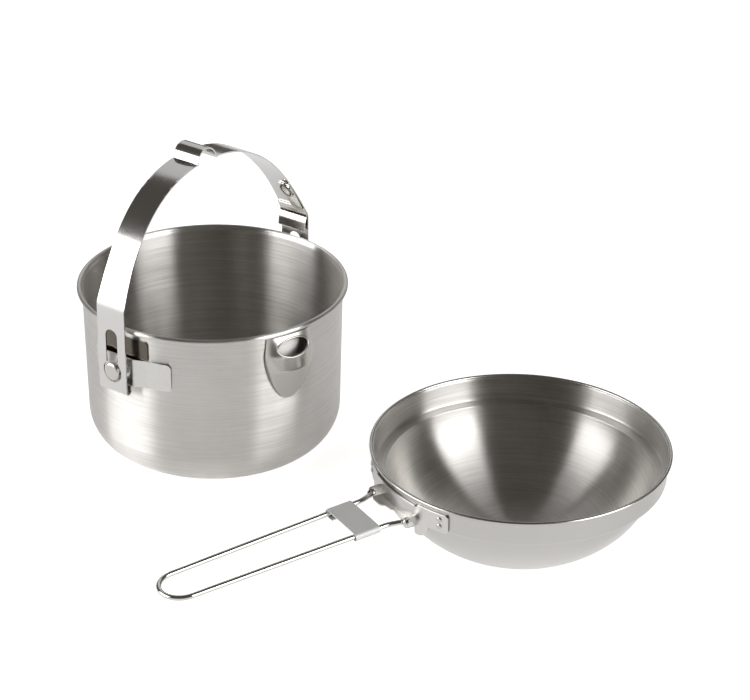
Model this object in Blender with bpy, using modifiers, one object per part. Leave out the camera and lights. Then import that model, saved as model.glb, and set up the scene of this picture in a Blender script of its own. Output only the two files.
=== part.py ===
"""Camping cook set: a spouted pot with a lift-and-swing bail, and a frying-pan lid with a wire handle.

Metres, +Z up. The origin is the centre of the pot's base, and both vessels stand on the plane z = 0.
The bail lies in a vertical plane through the pot's axis. The pan stands beside the pot.
"""
import math

import bmesh
import bpy
from mathutils import Matrix, Vector

# General
SHEET = 0.0008                 # wall of both vessels
STRIP = 0.0010                 # thickness of the bail, its brackets and the pan's bracket
GAP = 0.0003                   # clearance between neighbours that touch
ROUND_STEPS = 48               # facets of a turned shell
SMALL_STEPS = 16               # facets of a rivet or a hole
PIN_STEPS = 10                 # facets of a pin under 2 mm
CUT_DEPTH = 0.0100             # length of a cutter that goes right through a sheet

# Pot
POT_HEIGHT = 0.1175
POT_RIM_RADIUS = 0.0925        # outside of the rolled rim
POT_BEAD = 0.0034              # diameter of the rolled rim
POT_WALL_TOP = 0.0890          # outer radius of the wall under the rim
POT_WALL_LOW = 0.0875          # outer radius of the wall above the bottom corner
POT_CORNER = 0.0265            # outer radius of the bottom corner

# Bail, in its own plane: reach is the distance from the pot's axis, height is above the base
BAIL_TURN = math.radians(36)   # from -Y towards -X, the way the left leg points
BAIL_OFFSET = 0.0050           # the bail's plane stands this far from the pot's axis, away from the spout
BAIL_WIDTH = 0.0235            # of the legs
BAIL_ARCH_WIDTH = 0.0212
BAIL_TAPER = 0.0250            # height over which the strap narrows above the bend
BAIL_SWEEP = math.tan(math.radians(5.1))   # the arch leans back from the legs, away from the spout
BAIL_REACH = 0.0977            # middle of the leg's sheet
BAIL_BEND = 0.1330             # height at which the vertical leg leans in
BAIL_LEAN = math.radians(26.2)
BAIL_TOP = 0.2063
BAIL_SHOULDER = 0.0333         # length of the curve's lower handle
BAIL_CROWN = 0.0590            # length of the curve's upper handle
PIVOT_HEIGHT = 0.0862
FOLD_RADIUS = 0.00205          # middle of the folded foot's sheet
FOLD_HEIGHT = 0.0733
FOLD_LIP = 0.0033              # how far the foot turns back up
HUMP_CENTRE = 0.0020           # the hanging seat's place along the crown
HUMP_RADIUS = 0.0092
SLOT_WIDTH = 0.0100
SLOT_LENGTH = 0.0258           # travel of the rivet in the slot
KEYHOLE_RADIUS = 0.00775

# Bail brackets
BRACKET_REACH = 0.0921         # middle of the plate's sheet
BRACKET_HEIGHT = 0.0200
BRACKET_PLATE = 0.0115         # half the width of the flat plate
BRACKET_FOOT = 0.0208          # where the strip meets the wall
BRACKET_WINGS = (math.radians(17.0), math.radians(24.8))   # a short one and a long one
BRACKET_CORNER = 0.0035

# Backing plates on the wall behind the brackets
BACKING_SHEET = 0.0008
BACKING_LOW = 0.0800
BACKING_STEP = 0.0968          # wider above this height, where it clears the bracket
BACKING_TOP = 0.1100
BACKING_HALF_WIDTH = 0.0160
BACKING_HALF_HEAD = 0.0222
BACKING_CORNER = 0.0020

# Pivot rivets: radii, and stations along the axis from the pot's axis outwards
RIVET_HEAD = 0.00625
RIVET_SHOULDER = 0.0045
RIVET_SHANK = 0.0025
RIVET_TAIL = 0.0034
WASHER_RADIUS = 0.0044
WASHER_THICKNESS = 0.0005

# Catch spring under the bail's right shoulder
CATCH_WIDTH = 0.0233
CATCH_SHEET = 0.0008
CATCH_REACH = 0.0935           # middle of the sheet at the roll's inner side
CATCH_ROLL = 0.0014
CATCH_LOW = 0.1223
CATCH_TOP_PARAMETER = 0.29     # where the spring ends, as a parameter of the bail's curve
CATCH_START_PARAMETER = 0.045
CATCH_SHANK = 0.0020
CATCH_TAIL = 0.0074
CATCH_SHORT = 0.0070           # the roll ends this far from the bail's middle on its near side
CATCH_NECK_PARAMETER = 0.075   # above this the spring is a tongue that ends under the button
CATCH_TONGUE = 0.0094          # width of the tongue
BUTTON_PARAMETER = 0.2425
BUTTON_SIDE = -0.0056          # off the bail's middle, towards its near edge
BUTTON_HALF_WIDTH = 0.0050
BUTTON_HALF_LENGTH = 0.0076
BUTTON_THICKNESS = 0.0010

# Spout
SPOUT_TURN = math.radians(38)  # from -Y towards +X
SPOUT_ROOT = 0.0660
SPOUT_WIDEST = 0.1000
SPOUT_TOP = 0.1132
SPOUT_HALF_WIDTH = 0.0186
SPOUT_CREASE = 0.0900
SPOUT_DEPTH = 0.0092           # how far the crease stands off the wall
SPOUT_LIP_HEIGHT = 0.1010
SPOUT_LIP_DEPTH = 0.0072
SPOUT_TOP_DEPTH = 0.0016
SPOUT_FULLNESS = 0.6            # 0.5 is an ellipse across the spout, 1 a parabola
MOUTH_HALF_WIDTH = 0.0122
MOUTH_HALF_HEIGHT = 0.0060
DUCT_HEIGHT = 0.0865           # centre of the opening in the pot's wall
DUCT_HALF_WIDTH = 0.0085
DUCT_HALF_HEIGHT = 0.0085

# Pan
PAN_CENTRE = Vector((0.2059, -0.1360, 0.0))
PAN_HEIGHT = 0.0690
PAN_RIM_RADIUS = 0.0974
PAN_BEAD = 0.0024
PAN_BAND_TOP = 0.0950          # outer radius of the band under the rim
PAN_BAND_LOW = 0.0946
PAN_LEDGE = 0.0506             # height of the ledge's underside
PAN_BOWL_RADIUS = 0.0870       # outer radius of the bowl at the ledge
PAN_BASE_RADIUS = 0.0260
PAN_BOWL_POWER = 1.7

# Pan handle, in a frame that points out from the pan's axis
HANDLE_TURN = math.radians(-58.5)   # from -Y towards +X
HINGE_OUT = 0.0980
HINGE_HEIGHT = 0.0515
HANDLE_DROOP = math.radians(4)
WIRE_RADIUS = 0.00175
WIRE_HALF_GAUGE = 0.0163       # half the distance between the legs' centres at the flare
WIRE_LOOP_RADIUS = 0.0140      # the legs draw together to the loop
WIRE_EAR_GAUGE = 0.0187        # the same inside the ears
WIRE_TIP = 0.0238              # how far out the hooked ends reach
WIRE_END = 0.1610              # reach of the loop's centreline
WIRE_FLARE_NEAR = 0.0040
WIRE_FLARE_FAR = 0.0120
SLIDER_NEAR = 0.0186
SLIDER_LENGTH = 0.0175
SLIDER_SHEET = 0.0008
SLIDER_LIP = 0.0110            # where the slider's turned-under edges end

# Pan handle bracket
WING_HALF_ARC = math.radians(28.4)
WING_TOP = 0.0636
WING_BOTTOM = 0.0532
WING_CORNER = 0.0020
LOBE_PLACE = math.radians(14.2)
LOBE_HEIGHT = 0.0512
LOBE_RADIUS = 0.0090
MIDDLE_TOP = 0.0620
EAR_PLACE = 0.0215
EAR_ROOT = 0.0930              # keeps clear of the pan's band
EAR_RADIUS = 0.0040            # round the hinge
SHELF_HEIGHT = 0.0513
SHELF_HALF_WIDTH = 0.0160      # fits between the handle's wires
SHELF_INNER = 0.0945
SHELF_EDGE = ((-0.0160, 0.1012), (-0.0135, 0.1024), (-0.0050, 0.1024), (-0.0030, 0.0998), (0.0026, 0.0993),
              (0.0043, 0.0980), (0.0098, 0.0989), (0.0160, 0.0996))   # wavy outer edge: (sideways, out)
EAR_TURN = math.asin(EAR_PLACE / (PAN_BAND_LOW + GAP + STRIP / 2))
PAN_RIVET_TURN = math.radians(24.6)
PAN_RIVET_HEIGHTS = (0.0552, 0.0600)
PAN_RIVET_HEAD = 0.0017
PAN_RIVET_SHANK = 0.0009

Z_AXIS = Vector((0, 0, 1))
STEEL = (0.72, 0.71, 0.69, 1.0)


# Frames -----------------------------------------------------------------------------------------

def heading(turn):
    """Unit vector at an angle from -Y towards +X."""
    return Vector((math.sin(turn), -math.cos(turn), 0))


def radial_frame(turn, centre=Vector((0, 0, 0))):
    """Local X out from the axis, local Y sideways, local Z up."""
    out = heading(turn)
    side = Z_AXIS.cross(out)
    matrix = Matrix((out, side, Z_AXIS)).transposed().to_4x4()
    matrix.translation = centre
    return matrix


def bail_frame(end):
    """Local X along the bail's axis towards its left end (+1) or right end (-1), origin on the bail's plane."""
    frame = radial_frame(-BAIL_TURN if end > 0 else math.pi - BAIL_TURN)
    return frame @ Matrix.Translation((0, -end * BAIL_OFFSET, 0))


def hinge_frame():
    """The pan handle's own frame: X along the handle, Y along the hinge, Z up from its plane."""
    frame = radial_frame(HANDLE_TURN, PAN_CENTRE)
    return (frame @ Matrix.Translation((HINGE_OUT, 0, HINGE_HEIGHT))
            @ Matrix.Rotation(HANDLE_DROOP, 4, "Y"))


# Scene ------------------------------------------------------------------------------------------

def clear_scene():
    for item in list(bpy.data.objects):
        bpy.data.objects.remove(item, do_unlink=True)


def make_collection(name):
    collection = bpy.data.collections.new(name)
    bpy.context.scene.collection.children.link(collection)
    return collection


def make_material(name, colour, roughness):
    material = bpy.data.materials.new(name)
    material.use_nodes = True
    shader = material.node_tree.nodes["Principled BSDF"]
    shader.inputs["Base Color"].default_value = colour
    shader.inputs["Metallic"].default_value = 1.0
    shader.inputs["Roughness"].default_value = roughness
    return material


def place(name, data, matrix, collection=None, roughness=0.3):
    """Link an object under its node's name, with a steel of its own, or as a blank that cuts or joins."""
    item = bpy.data.objects.new(name, data)
    item.matrix_world = matrix
    (collection or PARTS).objects.link(item)
    if collection is BLANKS:
        item.hide_render = True
        item.display_type = "WIRE"
    else:
        data.materials.append(make_material(name, STEEL, roughness))
    return item


def hang_on_axis(name, matrix, items):
    """Parent pieces that move together to an empty on their joint's axis."""
    axis = bpy.data.objects.new(name, None)
    axis.matrix_world = matrix
    PARTS.objects.link(axis)
    for item in items:
        item.parent = axis
        item.matrix_parent_inverse = matrix.inverted()


# Shapes -----------------------------------------------------------------------------------------

def arc(centre, radius, start, end, count):
    """Points of an arc, from one angle to another in degrees."""
    points = []
    for index in range(count + 1):
        angle = math.radians(start + (end - start) * index / count)
        points.append((centre[0] + radius * math.cos(angle), centre[1] + radius * math.sin(angle)))
    return points


def turned(name, profile, matrix, steps=ROUND_STEPS, roughness=0.3):
    """Spin a profile of (radius, height) about local Z. It starts and ends on the axis."""
    mesh = bpy.data.meshes.new(name)
    edges = [(i, i + 1) for i in range(len(profile) - 1)]
    mesh.from_pydata([(radius, 0, height) for radius, height in profile], edges, [])
    item = place(name, mesh, matrix, roughness=roughness)
    spin = item.modifiers.new("spin", "SCREW")
    spin.steps = steps
    spin.render_steps = steps
    spin.use_merge_vertices = True
    spin.merge_threshold = 0.00001
    return item


def sheet(name, rows, thickness, matrix, roughness=0.3, collection=None):
    """A grid bent through rows of points, given its thickness evenly on both sides."""
    builder = bmesh.new()
    down = len(rows) - 1
    across = len(rows[0]) - 1
    bmesh.ops.create_grid(builder, x_segments=down, y_segments=across, size=0.5)
    for vertex in builder.verts:
        row = rows[round((vertex.co.x + 0.5) * down)]
        vertex.co = row[round((vertex.co.y + 0.5) * across)]
    mesh = bpy.data.meshes.new(name)
    builder.to_mesh(mesh)
    builder.free()
    item = place(name, mesh, matrix, collection, roughness)
    thicken = item.modifiers.new("thickness", "SOLIDIFY")
    thicken.thickness = thickness
    thicken.offset = 0
    thicken.use_even_offset = True
    return item


def plate(outline, thickness, matrix):
    """A blank from a flat outline in local XY, with its thickness evenly about the plane."""
    curve = bpy.data.curves.new("blank", "CURVE")
    curve.dimensions = "2D"
    curve.fill_mode = "BOTH"
    curve.extrude = thickness / 2
    spline = curve.splines.new("POLY")
    spline.use_cyclic_u = True
    spline.points.add(len(outline) - 1)
    for point, (x, y) in zip(spline.points, outline):
        point.co = (x, y, 0, 1)
    flat = place("outline", curve, Matrix.Identity(4), BLANKS)
    mesh = bpy.data.meshes.new_from_object(flat.evaluated_get(bpy.context.evaluated_depsgraph_get()))
    bpy.data.objects.remove(flat)
    builder = bmesh.new()
    builder.from_mesh(mesh)
    bmesh.ops.remove_doubles(builder, verts=builder.verts, dist=0.000001)
    bmesh.ops.recalc_face_normals(builder, faces=builder.faces)
    builder.to_mesh(mesh)
    builder.free()
    return place("blank", mesh, matrix, BLANKS)


def peg(radius, length, matrix, steps=SMALL_STEPS, stretch=1.0):
    """A round cutter along local Z; stretch makes it an ellipse that is longer along local Y."""
    mesh = bpy.data.meshes.new("blank")
    builder = bmesh.new()
    bmesh.ops.create_cone(builder, cap_ends=True, segments=steps, radius1=radius, radius2=radius,
                          depth=length, matrix=Matrix.Diagonal((1, stretch, 1, 1)))
    builder.to_mesh(mesh)
    builder.free()
    return place("blank", mesh, matrix, BLANKS)


def combine(item, tool, operation):
    step = item.modifiers.new(tool.name, "BOOLEAN")
    step.operation = operation
    step.object = tool
    step.solver = "EXACT"


def smooth(item):
    """Shade a round piece smooth and keep its corners sharp."""
    item.data.shade_smooth()
    item.data.set_sharp_from_angle(angle=math.radians(35))


# Pot --------------------------------------------------------------------------------------------

def wall_radius(height):
    """Outer radius of the pot's wall, which widens slightly upwards."""
    share = (height - POT_CORNER) / (POT_HEIGHT - POT_BEAD - POT_CORNER)
    return POT_WALL_LOW + (POT_WALL_TOP - POT_WALL_LOW) * share


def pot_profile():
    """Inside from the middle of the floor to the rim, then outside down to the middle of the base."""
    low = POT_WALL_LOW - POT_CORNER
    bead = POT_BEAD / 2
    bead_centre = (POT_RIM_RADIUS - bead, POT_HEIGHT - bead)
    inner = arc((low, POT_CORNER), POT_CORNER - SHEET, -90, 0, 6)
    outer = arc((low, POT_CORNER), POT_CORNER, 0, -90, 6)
    roll = arc(bead_centre, bead, 180, -150, 8)
    inner_top = (POT_WALL_TOP - SHEET, POT_HEIGHT - POT_BEAD)
    over = [(POT_WALL_TOP - SHEET + 0.0004, POT_HEIGHT - bead)]
    outer_top = (POT_WALL_TOP, POT_HEIGHT - POT_BEAD - 0.0003)
    return ([(0, SHEET)] + inner + [inner_top] + over + roll[1:] + [outer_top] + outer + [(0, 0)])


def make_pot():
    pot = turned("pot_shell", pot_profile(), Matrix.Identity(4), steps=ROUND_STEPS, roughness=0.25)
    seat = radial_frame(SPOUT_TURN) @ facing_out(wall_radius(DUCT_HEIGHT), DUCT_HEIGHT)
    duct = peg(DUCT_HALF_WIDTH, CUT_DEPTH, seat, stretch=DUCT_HALF_HEIGHT / DUCT_HALF_WIDTH)
    combine(pot, duct, "DIFFERENCE")
    smooth(pot)


# Spout ------------------------------------------------------------------------------------------

def spout_half_width(height):
    """A U whose round end is the root."""
    if height >= SPOUT_WIDEST:
        return SPOUT_HALF_WIDTH - 0.0015 * (height - SPOUT_WIDEST) / (SPOUT_TOP - SPOUT_WIDEST)
    share = (SPOUT_WIDEST - height) / (SPOUT_WIDEST - SPOUT_ROOT + 0.0004)
    return SPOUT_HALF_WIDTH * math.sqrt(1 - share ** 1.5)


def spout_depth(height):
    """Out from root to crease, back to the lip, and in to the wall under the rim."""
    stations = ((SPOUT_ROOT, 0.0004), (SPOUT_CREASE, SPOUT_DEPTH),
                (SPOUT_LIP_HEIGHT, SPOUT_LIP_DEPTH), (SPOUT_TOP, SPOUT_TOP_DEPTH))
    for (low, start), (high, end) in zip(stations, stations[1:]):
        if height <= high:
            return start + (end - start) * (height - low) / (high - low)
    return SPOUT_TOP_DEPTH


def spout_rows(columns=14):
    heights = []
    for low, high, count in ((SPOUT_ROOT, SPOUT_CREASE, 10), (SPOUT_CREASE, SPOUT_LIP_HEIGHT, 3),
                             (SPOUT_LIP_HEIGHT, SPOUT_TOP, 4)):
        heights += [low + (high - low) * i / count for i in range(count)]
    heights.append(SPOUT_TOP)
    rows = []
    for height in heights:
        row = []
        for j in range(columns + 1):
            across = math.sin(math.pi * (j / columns - 0.5))
            bulge = spout_depth(height) * (1 - across * across) ** SPOUT_FULLNESS
            radius = wall_radius(height) + GAP + SHEET / 2 + bulge
            turn = spout_half_width(height) * across / wall_radius(height)
            row.append((radius * math.cos(turn), radius * math.sin(turn), height))
        rows.append(row)
    return rows


def mouth_matrix():
    """Centre of the mouth, with local Z out through it and local X across it."""
    rise = SPOUT_TOP - SPOUT_LIP_HEIGHT
    slope = math.atan2(SPOUT_LIP_DEPTH - SPOUT_TOP_DEPTH, rise)
    height = (SPOUT_TOP + SPOUT_LIP_HEIGHT) / 2
    reach = wall_radius(height) + GAP + spout_depth(height)
    tilt = Matrix.Rotation(math.radians(90) - slope, 4, "Y") @ Matrix.Rotation(math.radians(90), 4, "Z")
    return radial_frame(SPOUT_TURN) @ Matrix.Translation((reach, 0, height)) @ tilt


def make_spout():
    spout = sheet("spout", spout_rows(), SHEET, radial_frame(SPOUT_TURN), roughness=0.3)
    mouth = peg(MOUTH_HALF_WIDTH, CUT_DEPTH, mouth_matrix(), stretch=MOUTH_HALF_HEIGHT / MOUTH_HALF_WIDTH)
    combine(spout, mouth, "DIFFERENCE")
    smooth(spout)


# Bail -------------------------------------------------------------------------------------------

def crown_curve(share):
    """Point and inward normal of the bail's curved half, from the bend (0) to the top (1)."""
    start = Vector((BAIL_REACH, BAIL_BEND))
    first = start + BAIL_SHOULDER * Vector((-math.sin(BAIL_LEAN), math.cos(BAIL_LEAN)))
    second = Vector((BAIL_CROWN, BAIL_TOP))
    end = Vector((0, BAIL_TOP))
    rest = 1 - share
    point = (start * rest ** 3 + first * 3 * rest ** 2 * share
             + second * 3 * rest * share ** 2 + end * share ** 3)
    along = ((first - start) * rest ** 2 + (second - first) * 2 * rest * share
             + (end - second) * share ** 2).normalized()
    return point, Vector((-along.y, along.x))


def leg_path():
    """The folded foot and the vertical leg, from the foot's lip upwards."""
    centre = (BAIL_REACH - FOLD_RADIUS, FOLD_HEIGHT)
    foot = arc(centre, FOLD_RADIUS, 180, 360, 8)
    lip = (BAIL_REACH - 2 * FOLD_RADIUS, FOLD_HEIGHT + FOLD_LIP)
    leg = [(BAIL_REACH, FOLD_HEIGHT + (BAIL_BEND - FOLD_HEIGHT) * i / 4) for i in range(1, 4)]
    return [lip] + foot + leg


def crown_path():
    """From the left bend over the hanging seat to the right bend."""
    half = [crown_curve(i / 16)[0] for i in range(17)]
    left = [tuple(point) for point in half if point.x > HUMP_CENTRE + HUMP_RADIUS + 0.002]
    right = [(-point.x, point.y) for point in reversed(half) if point.x > HUMP_RADIUS - HUMP_CENTRE + 0.002]
    hump = arc((HUMP_CENTRE, BAIL_TOP - 0.0012), HUMP_RADIUS, 0, 180, 12)
    return left + hump + right


def bail_path():
    """Middle of the sheet, as (reach, height) from the left foot to the right one."""
    right = [(-reach, height) for reach, height in reversed(leg_path())]
    return leg_path() + crown_path() + right


def strip_rows(path, leg_width, arch_width):
    """Rows across the bail or its spring: reach along local X, width along local Y, swept back above the bend."""
    rows = []
    for reach, height in path:
        rise = max(height - BAIL_BEND, 0)
        half = (leg_width + (arch_width - leg_width) * min(rise / BAIL_TAPER, 1)) / 2
        rows.append([(reach, -rise * BAIL_SWEEP - half, height), (reach, -rise * BAIL_SWEEP + half, height)])
    return rows


def keyhole_outline():
    """Round hole below, slot above; local X across the leg and local Y up from the pivot."""
    half = SLOT_WIDTH / 2
    angle = math.degrees(math.asin(half / KEYHOLE_RADIUS))
    hole = arc((0, 0), KEYHOLE_RADIUS, 90 + angle, 450 - angle, 20)
    top = arc((0, SLOT_LENGTH), half, 0, 180, 10)
    return hole + top


def facing_out(reach, height):
    """Local Z points out along the frame's own X, local Y up."""
    turn = Matrix.Rotation(math.radians(90), 4, "Y") @ Matrix.Rotation(math.radians(90), 4, "Z")
    return Matrix.Translation((reach, 0, height)) @ turn


def make_bail():
    frame = bail_frame(1)
    rows = strip_rows(bail_path(), BAIL_WIDTH, BAIL_ARCH_WIDTH)
    pivot = Matrix.Translation((0, 0, PIVOT_HEIGHT))
    rows = [[(x, y, z - PIVOT_HEIGHT) for x, y, z in row] for row in rows]
    strap = sheet("bail_strap", rows, STRIP, frame @ pivot, roughness=0.12)
    for side in (0, math.pi):
        about = Matrix.Rotation(side, 4, "Z")
        hole = frame @ about @ facing_out(BAIL_REACH, PIVOT_HEIGHT)
        combine(strap, plate(keyhole_outline(), 0.003, hole), "DIFFERENCE")
    combine(strap, catch_hole(), "DIFFERENCE")
    smooth(strap)
    hang_on_axis("bail_axis", frame @ pivot, [strap] + make_catch())


# Catch spring -----------------------------------------------------------------------------------

def catch_offset():
    return STRIP / 2 + GAP + CATCH_SHEET / 2


def catch_span(start, end, count):
    """Points along the bail's inner face between two parameters of its curve."""
    path = []
    for i in range(count + 1):
        point, inward = crown_curve(start + (end - start) * i / count)
        path.append(tuple(point + inward * catch_offset()))
    return path


def catch_path():
    """From the neck down the bail's inner face."""
    return catch_span(CATCH_NECK_PARAMETER, CATCH_START_PARAMETER, 2) + [(CATCH_REACH, BAIL_BEND)]


def roll_path():
    """A flattened roll that faces the pot, from the spring's flat down and back up."""
    centre = (CATCH_REACH + CATCH_ROLL, CATCH_LOW)
    tail = (CATCH_REACH + 2 * CATCH_ROLL, CATCH_LOW + CATCH_TAIL)
    return [(CATCH_REACH, BAIL_BEND - 0.0030)] + arc(centre, CATCH_ROLL, 180, 360, 6) + [tail]


def catch_rows():
    """The tongue under the button, the broad spring, then the roll, which is shorter on the near side."""
    rows = []
    for reach, height in catch_span(CATCH_TOP_PARAMETER, CATCH_NECK_PARAMETER + 0.001, 6):
        middle = -(height - BAIL_BEND) * BAIL_SWEEP - BUTTON_SIDE
        rows.append([(-reach, middle - CATCH_TONGUE / 2, height), (-reach, middle + CATCH_TONGUE / 2, height)])
    rows += strip_rows([(-reach, height) for reach, height in catch_path()], CATCH_WIDTH, BAIL_ARCH_WIDTH)
    for reach, height in roll_path():
        rows.append([(-reach, -CATCH_WIDTH / 2, height), (-reach, CATCH_SHORT, height)])
    return rows


def catch_seat():
    """Centre of the catch rivet, with local Z inwards through the bail and the spring."""
    point, inward = crown_curve(BUTTON_PARAMETER)
    tilt = math.atan2(inward.y, -inward.x)
    back = (point.y - BAIL_BEND) * BAIL_SWEEP + BUTTON_SIDE
    frame = bail_frame(-1) @ Matrix.Translation((point.x, back, point.y))
    return frame @ Matrix.Rotation(math.radians(-90) + tilt, 4, "Y")


def catch_hole():
    return peg(CATCH_SHANK + GAP, CUT_DEPTH, catch_seat())


def make_catch():
    spring = sheet("catch_spring", catch_rows(), CATCH_SHEET, bail_frame(1), roughness=0.12)
    combine(spring, catch_hole(), "DIFFERENCE")
    smooth(spring)
    inner = STRIP / 2 + GAP + CATCH_SHEET + GAP
    outer = -STRIP / 2 - GAP
    profile = [(0, inner + BUTTON_THICKNESS / 2), (CATCH_SHANK, inner + BUTTON_THICKNESS / 2),
               (CATCH_SHANK, outer), (0.0034, outer), (0.0034, outer - 0.0003),
               (0.0028, outer - 0.0008), (0, outer - 0.0010)]
    seat = catch_seat()
    rivet = turned("catch_rivet", profile, seat, SMALL_STEPS, roughness=0.2)
    across = Matrix.Translation((0, 0, inner + BUTTON_THICKNESS / 2)) @ Matrix.Rotation(math.radians(90), 4, "Z")
    button = peg(BUTTON_HALF_WIDTH, BUTTON_THICKNESS, seat @ across, 24, BUTTON_HALF_LENGTH / BUTTON_HALF_WIDTH)
    combine(rivet, button, "UNION")
    smooth(rivet)
    return [spring, rivet]


# Bail brackets and pivots -----------------------------------------------------------------------

def bracket_outline_height(distance):
    """Half the strip's height at a distance from its end, with rounded corners."""
    if distance >= BRACKET_CORNER:
        return BRACKET_HEIGHT / 2
    short = BRACKET_CORNER - distance
    return BRACKET_HEIGHT / 2 - BRACKET_CORNER + math.sqrt(BRACKET_CORNER ** 2 - short ** 2)


def bracket_half(end, side):
    """Rows of one wing, from its tip to the flat plate."""
    shift = -end * BAIL_OFFSET
    radius = wall_radius(PIVOT_HEIGHT)
    middle = shift / radius
    tip = middle + side * BRACKET_WINGS[side > 0]
    foot = math.asin((shift + side * BRACKET_FOOT) / radius)
    rows = []
    for share in (0, 0.02, 0.06, 0.12, 0.2, 0.4, 0.6, 0.8, 1):
        turn = tip + (foot - tip) * share
        reach = bracket_outline_height(abs(turn - tip) * radius + 0.0001)
        row = []
        for level in (-1, 0, 1):
            height = PIVOT_HEIGHT + level * reach
            out = wall_radius(height) + GAP + STRIP / 2
            row.append((out * math.cos(turn), out * math.sin(turn) - shift, height))
        rows.append(row)
    corner = [(BRACKET_REACH, side * BRACKET_PLATE, PIVOT_HEIGHT + level * BRACKET_HEIGHT / 2)
              for level in (-1, 0, 1)]
    return rows + [corner]


def make_bracket(name, end):
    frame = bail_frame(end)
    rows = bracket_half(end, -1) + list(reversed(bracket_half(end, 1)))
    bracket = sheet(name, rows, STRIP, frame, roughness=0.3)
    hole = peg(RIVET_SHANK + GAP, CUT_DEPTH / 2, frame @ facing_out(BRACKET_REACH, PIVOT_HEIGHT))
    combine(bracket, hole, "DIFFERENCE")
    smooth(bracket)


def backing_span(away):
    """Lowest and highest point of a backing plate at a distance from its middle."""
    low = BACKING_LOW if away < BACKING_HALF_WIDTH else BACKING_STEP
    short = max(away - (BACKING_HALF_HEAD - BACKING_CORNER), 0)
    return low, BACKING_TOP - BACKING_CORNER + math.sqrt(max(BACKING_CORNER ** 2 - short ** 2, 0))


def make_backing(name, end):
    """A plate that lies on the wall behind the bracket and reaches up towards the rim."""
    shift = -end * BAIL_OFFSET
    half = BACKING_HALF_HEAD
    step = BACKING_HALF_WIDTH
    stations = [half, half - 0.0006, half - BACKING_CORNER, step + 0.00005, step - 0.00005, step / 2, 0]
    places = stations + [-station for station in reversed(stations[:-1])]
    rows = []
    for station in places:
        low, high = backing_span(abs(station))
        row = []
        for height in (low, BACKING_STEP if low < BACKING_STEP else (low + high) / 2, high):
            out = wall_radius(height) + GAP + BACKING_SHEET / 2
            turn = (shift + station) / out
            row.append((out * math.cos(turn), out * math.sin(turn) - shift, height))
        rows.append(row)
    smooth(sheet(name, rows, BACKING_SHEET, bail_frame(end), roughness=0.2))


def make_pivot(side, end):
    """A shouldered rivet that turns in the plate, and the washer behind it."""
    frame = bail_frame(end) @ facing_out(0, PIVOT_HEIGHT)
    plate_in = BRACKET_REACH - STRIP / 2 - GAP
    plate_out = BRACKET_REACH + STRIP / 2 + GAP
    head = BAIL_REACH + STRIP / 2 + GAP
    washer_in = plate_in - WASHER_THICKNESS
    tail = washer_in - GAP
    profile = [(0, head + 0.0016), (RIVET_HEAD - 0.0016, head + 0.0014), (RIVET_HEAD, head + 0.0006),
               (RIVET_HEAD, head), (RIVET_SHOULDER, head), (RIVET_SHOULDER, plate_out),
               (RIVET_SHANK, plate_out), (RIVET_SHANK, tail), (RIVET_TAIL, tail),
               (RIVET_TAIL - 0.0006, tail - 0.0008), (0, tail - 0.0008)]
    smooth(turned(side + "_pivot_rivet", profile, frame, SMALL_STEPS, roughness=0.25))
    hole = RIVET_SHANK + GAP
    ring = [(hole, washer_in), (hole, plate_in), (WASHER_RADIUS, plate_in), (WASHER_RADIUS, washer_in),
            (hole, washer_in)]
    smooth(turned(side + "_pivot_washer", ring, frame, SMALL_STEPS, roughness=0.35))


# Pan --------------------------------------------------------------------------------------------

def bowl_arc(shrink, count=10):
    """The bowl's curve from the ledge to the base; shrink moves it in by the sheet's thickness."""
    width = PAN_BOWL_RADIUS - PAN_BASE_RADIUS
    points = []
    for index in range(count + 1):
        angle = math.radians(90) * index / count
        across = math.cos(angle) ** (2 / PAN_BOWL_POWER)
        down = math.sin(angle) ** (2 / PAN_BOWL_POWER)
        radius = PAN_BASE_RADIUS + (width - shrink) * across
        points.append((radius, PAN_LEDGE - (PAN_LEDGE - shrink) * down))
    return points


def pan_profile():
    """Inside from the middle up to the rim, then outside down to the middle of the base."""
    bead = PAN_BEAD / 2
    inner = list(reversed(bowl_arc(SHEET)))
    roll = arc((PAN_RIM_RADIUS - bead, PAN_HEIGHT - bead), bead, 180, -150, 8)
    ledge_in = [(PAN_BOWL_RADIUS - SHEET, PAN_LEDGE + SHEET), (PAN_BAND_LOW - SHEET - 0.0015, PAN_LEDGE + SHEET),
                (PAN_BAND_LOW - SHEET, PAN_LEDGE + SHEET + 0.0015)]
    band = [(PAN_BAND_TOP - SHEET, PAN_HEIGHT - PAN_BEAD), (PAN_BAND_TOP - SHEET + 0.0003, PAN_HEIGHT - bead)]
    band_out = [(PAN_BAND_TOP, PAN_HEIGHT - PAN_BEAD - 0.0003), (PAN_BAND_LOW, PAN_LEDGE + 0.0020),
                (PAN_BAND_LOW - 0.0020, PAN_LEDGE)]
    return ([(0, SHEET)] + inner + ledge_in + band + roll[1:] + band_out + bowl_arc(0) + [(0, 0)])


def pan_rivet_matrices():
    """Seats of the bracket's rivets on the band, with local Z outwards."""
    seats = []
    for side in (-1, 1):
        for height in PAN_RIVET_HEIGHTS:
            frame = radial_frame(HANDLE_TURN + side * PAN_RIVET_TURN, PAN_CENTRE)
            seats.append(frame @ facing_out(band_radius(height), height))
    return seats


def band_radius(height):
    """Outer radius of the pan's band."""
    share = (height - PAN_LEDGE) / (PAN_HEIGHT - PAN_BEAD - PAN_LEDGE)
    return PAN_BAND_LOW + (PAN_BAND_TOP - PAN_BAND_LOW) * max(share, 0)


def rivet_hole(seat):
    return peg(PAN_RIVET_SHANK + GAP, CUT_DEPTH, seat, PIN_STEPS)


def make_pan():
    pan = turned("pan_shell", pan_profile(), Matrix.Translation(PAN_CENTRE), roughness=0.25)
    for seat in pan_rivet_matrices():
        combine(pan, rivet_hole(seat), "DIFFERENCE")
    smooth(pan)


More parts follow.
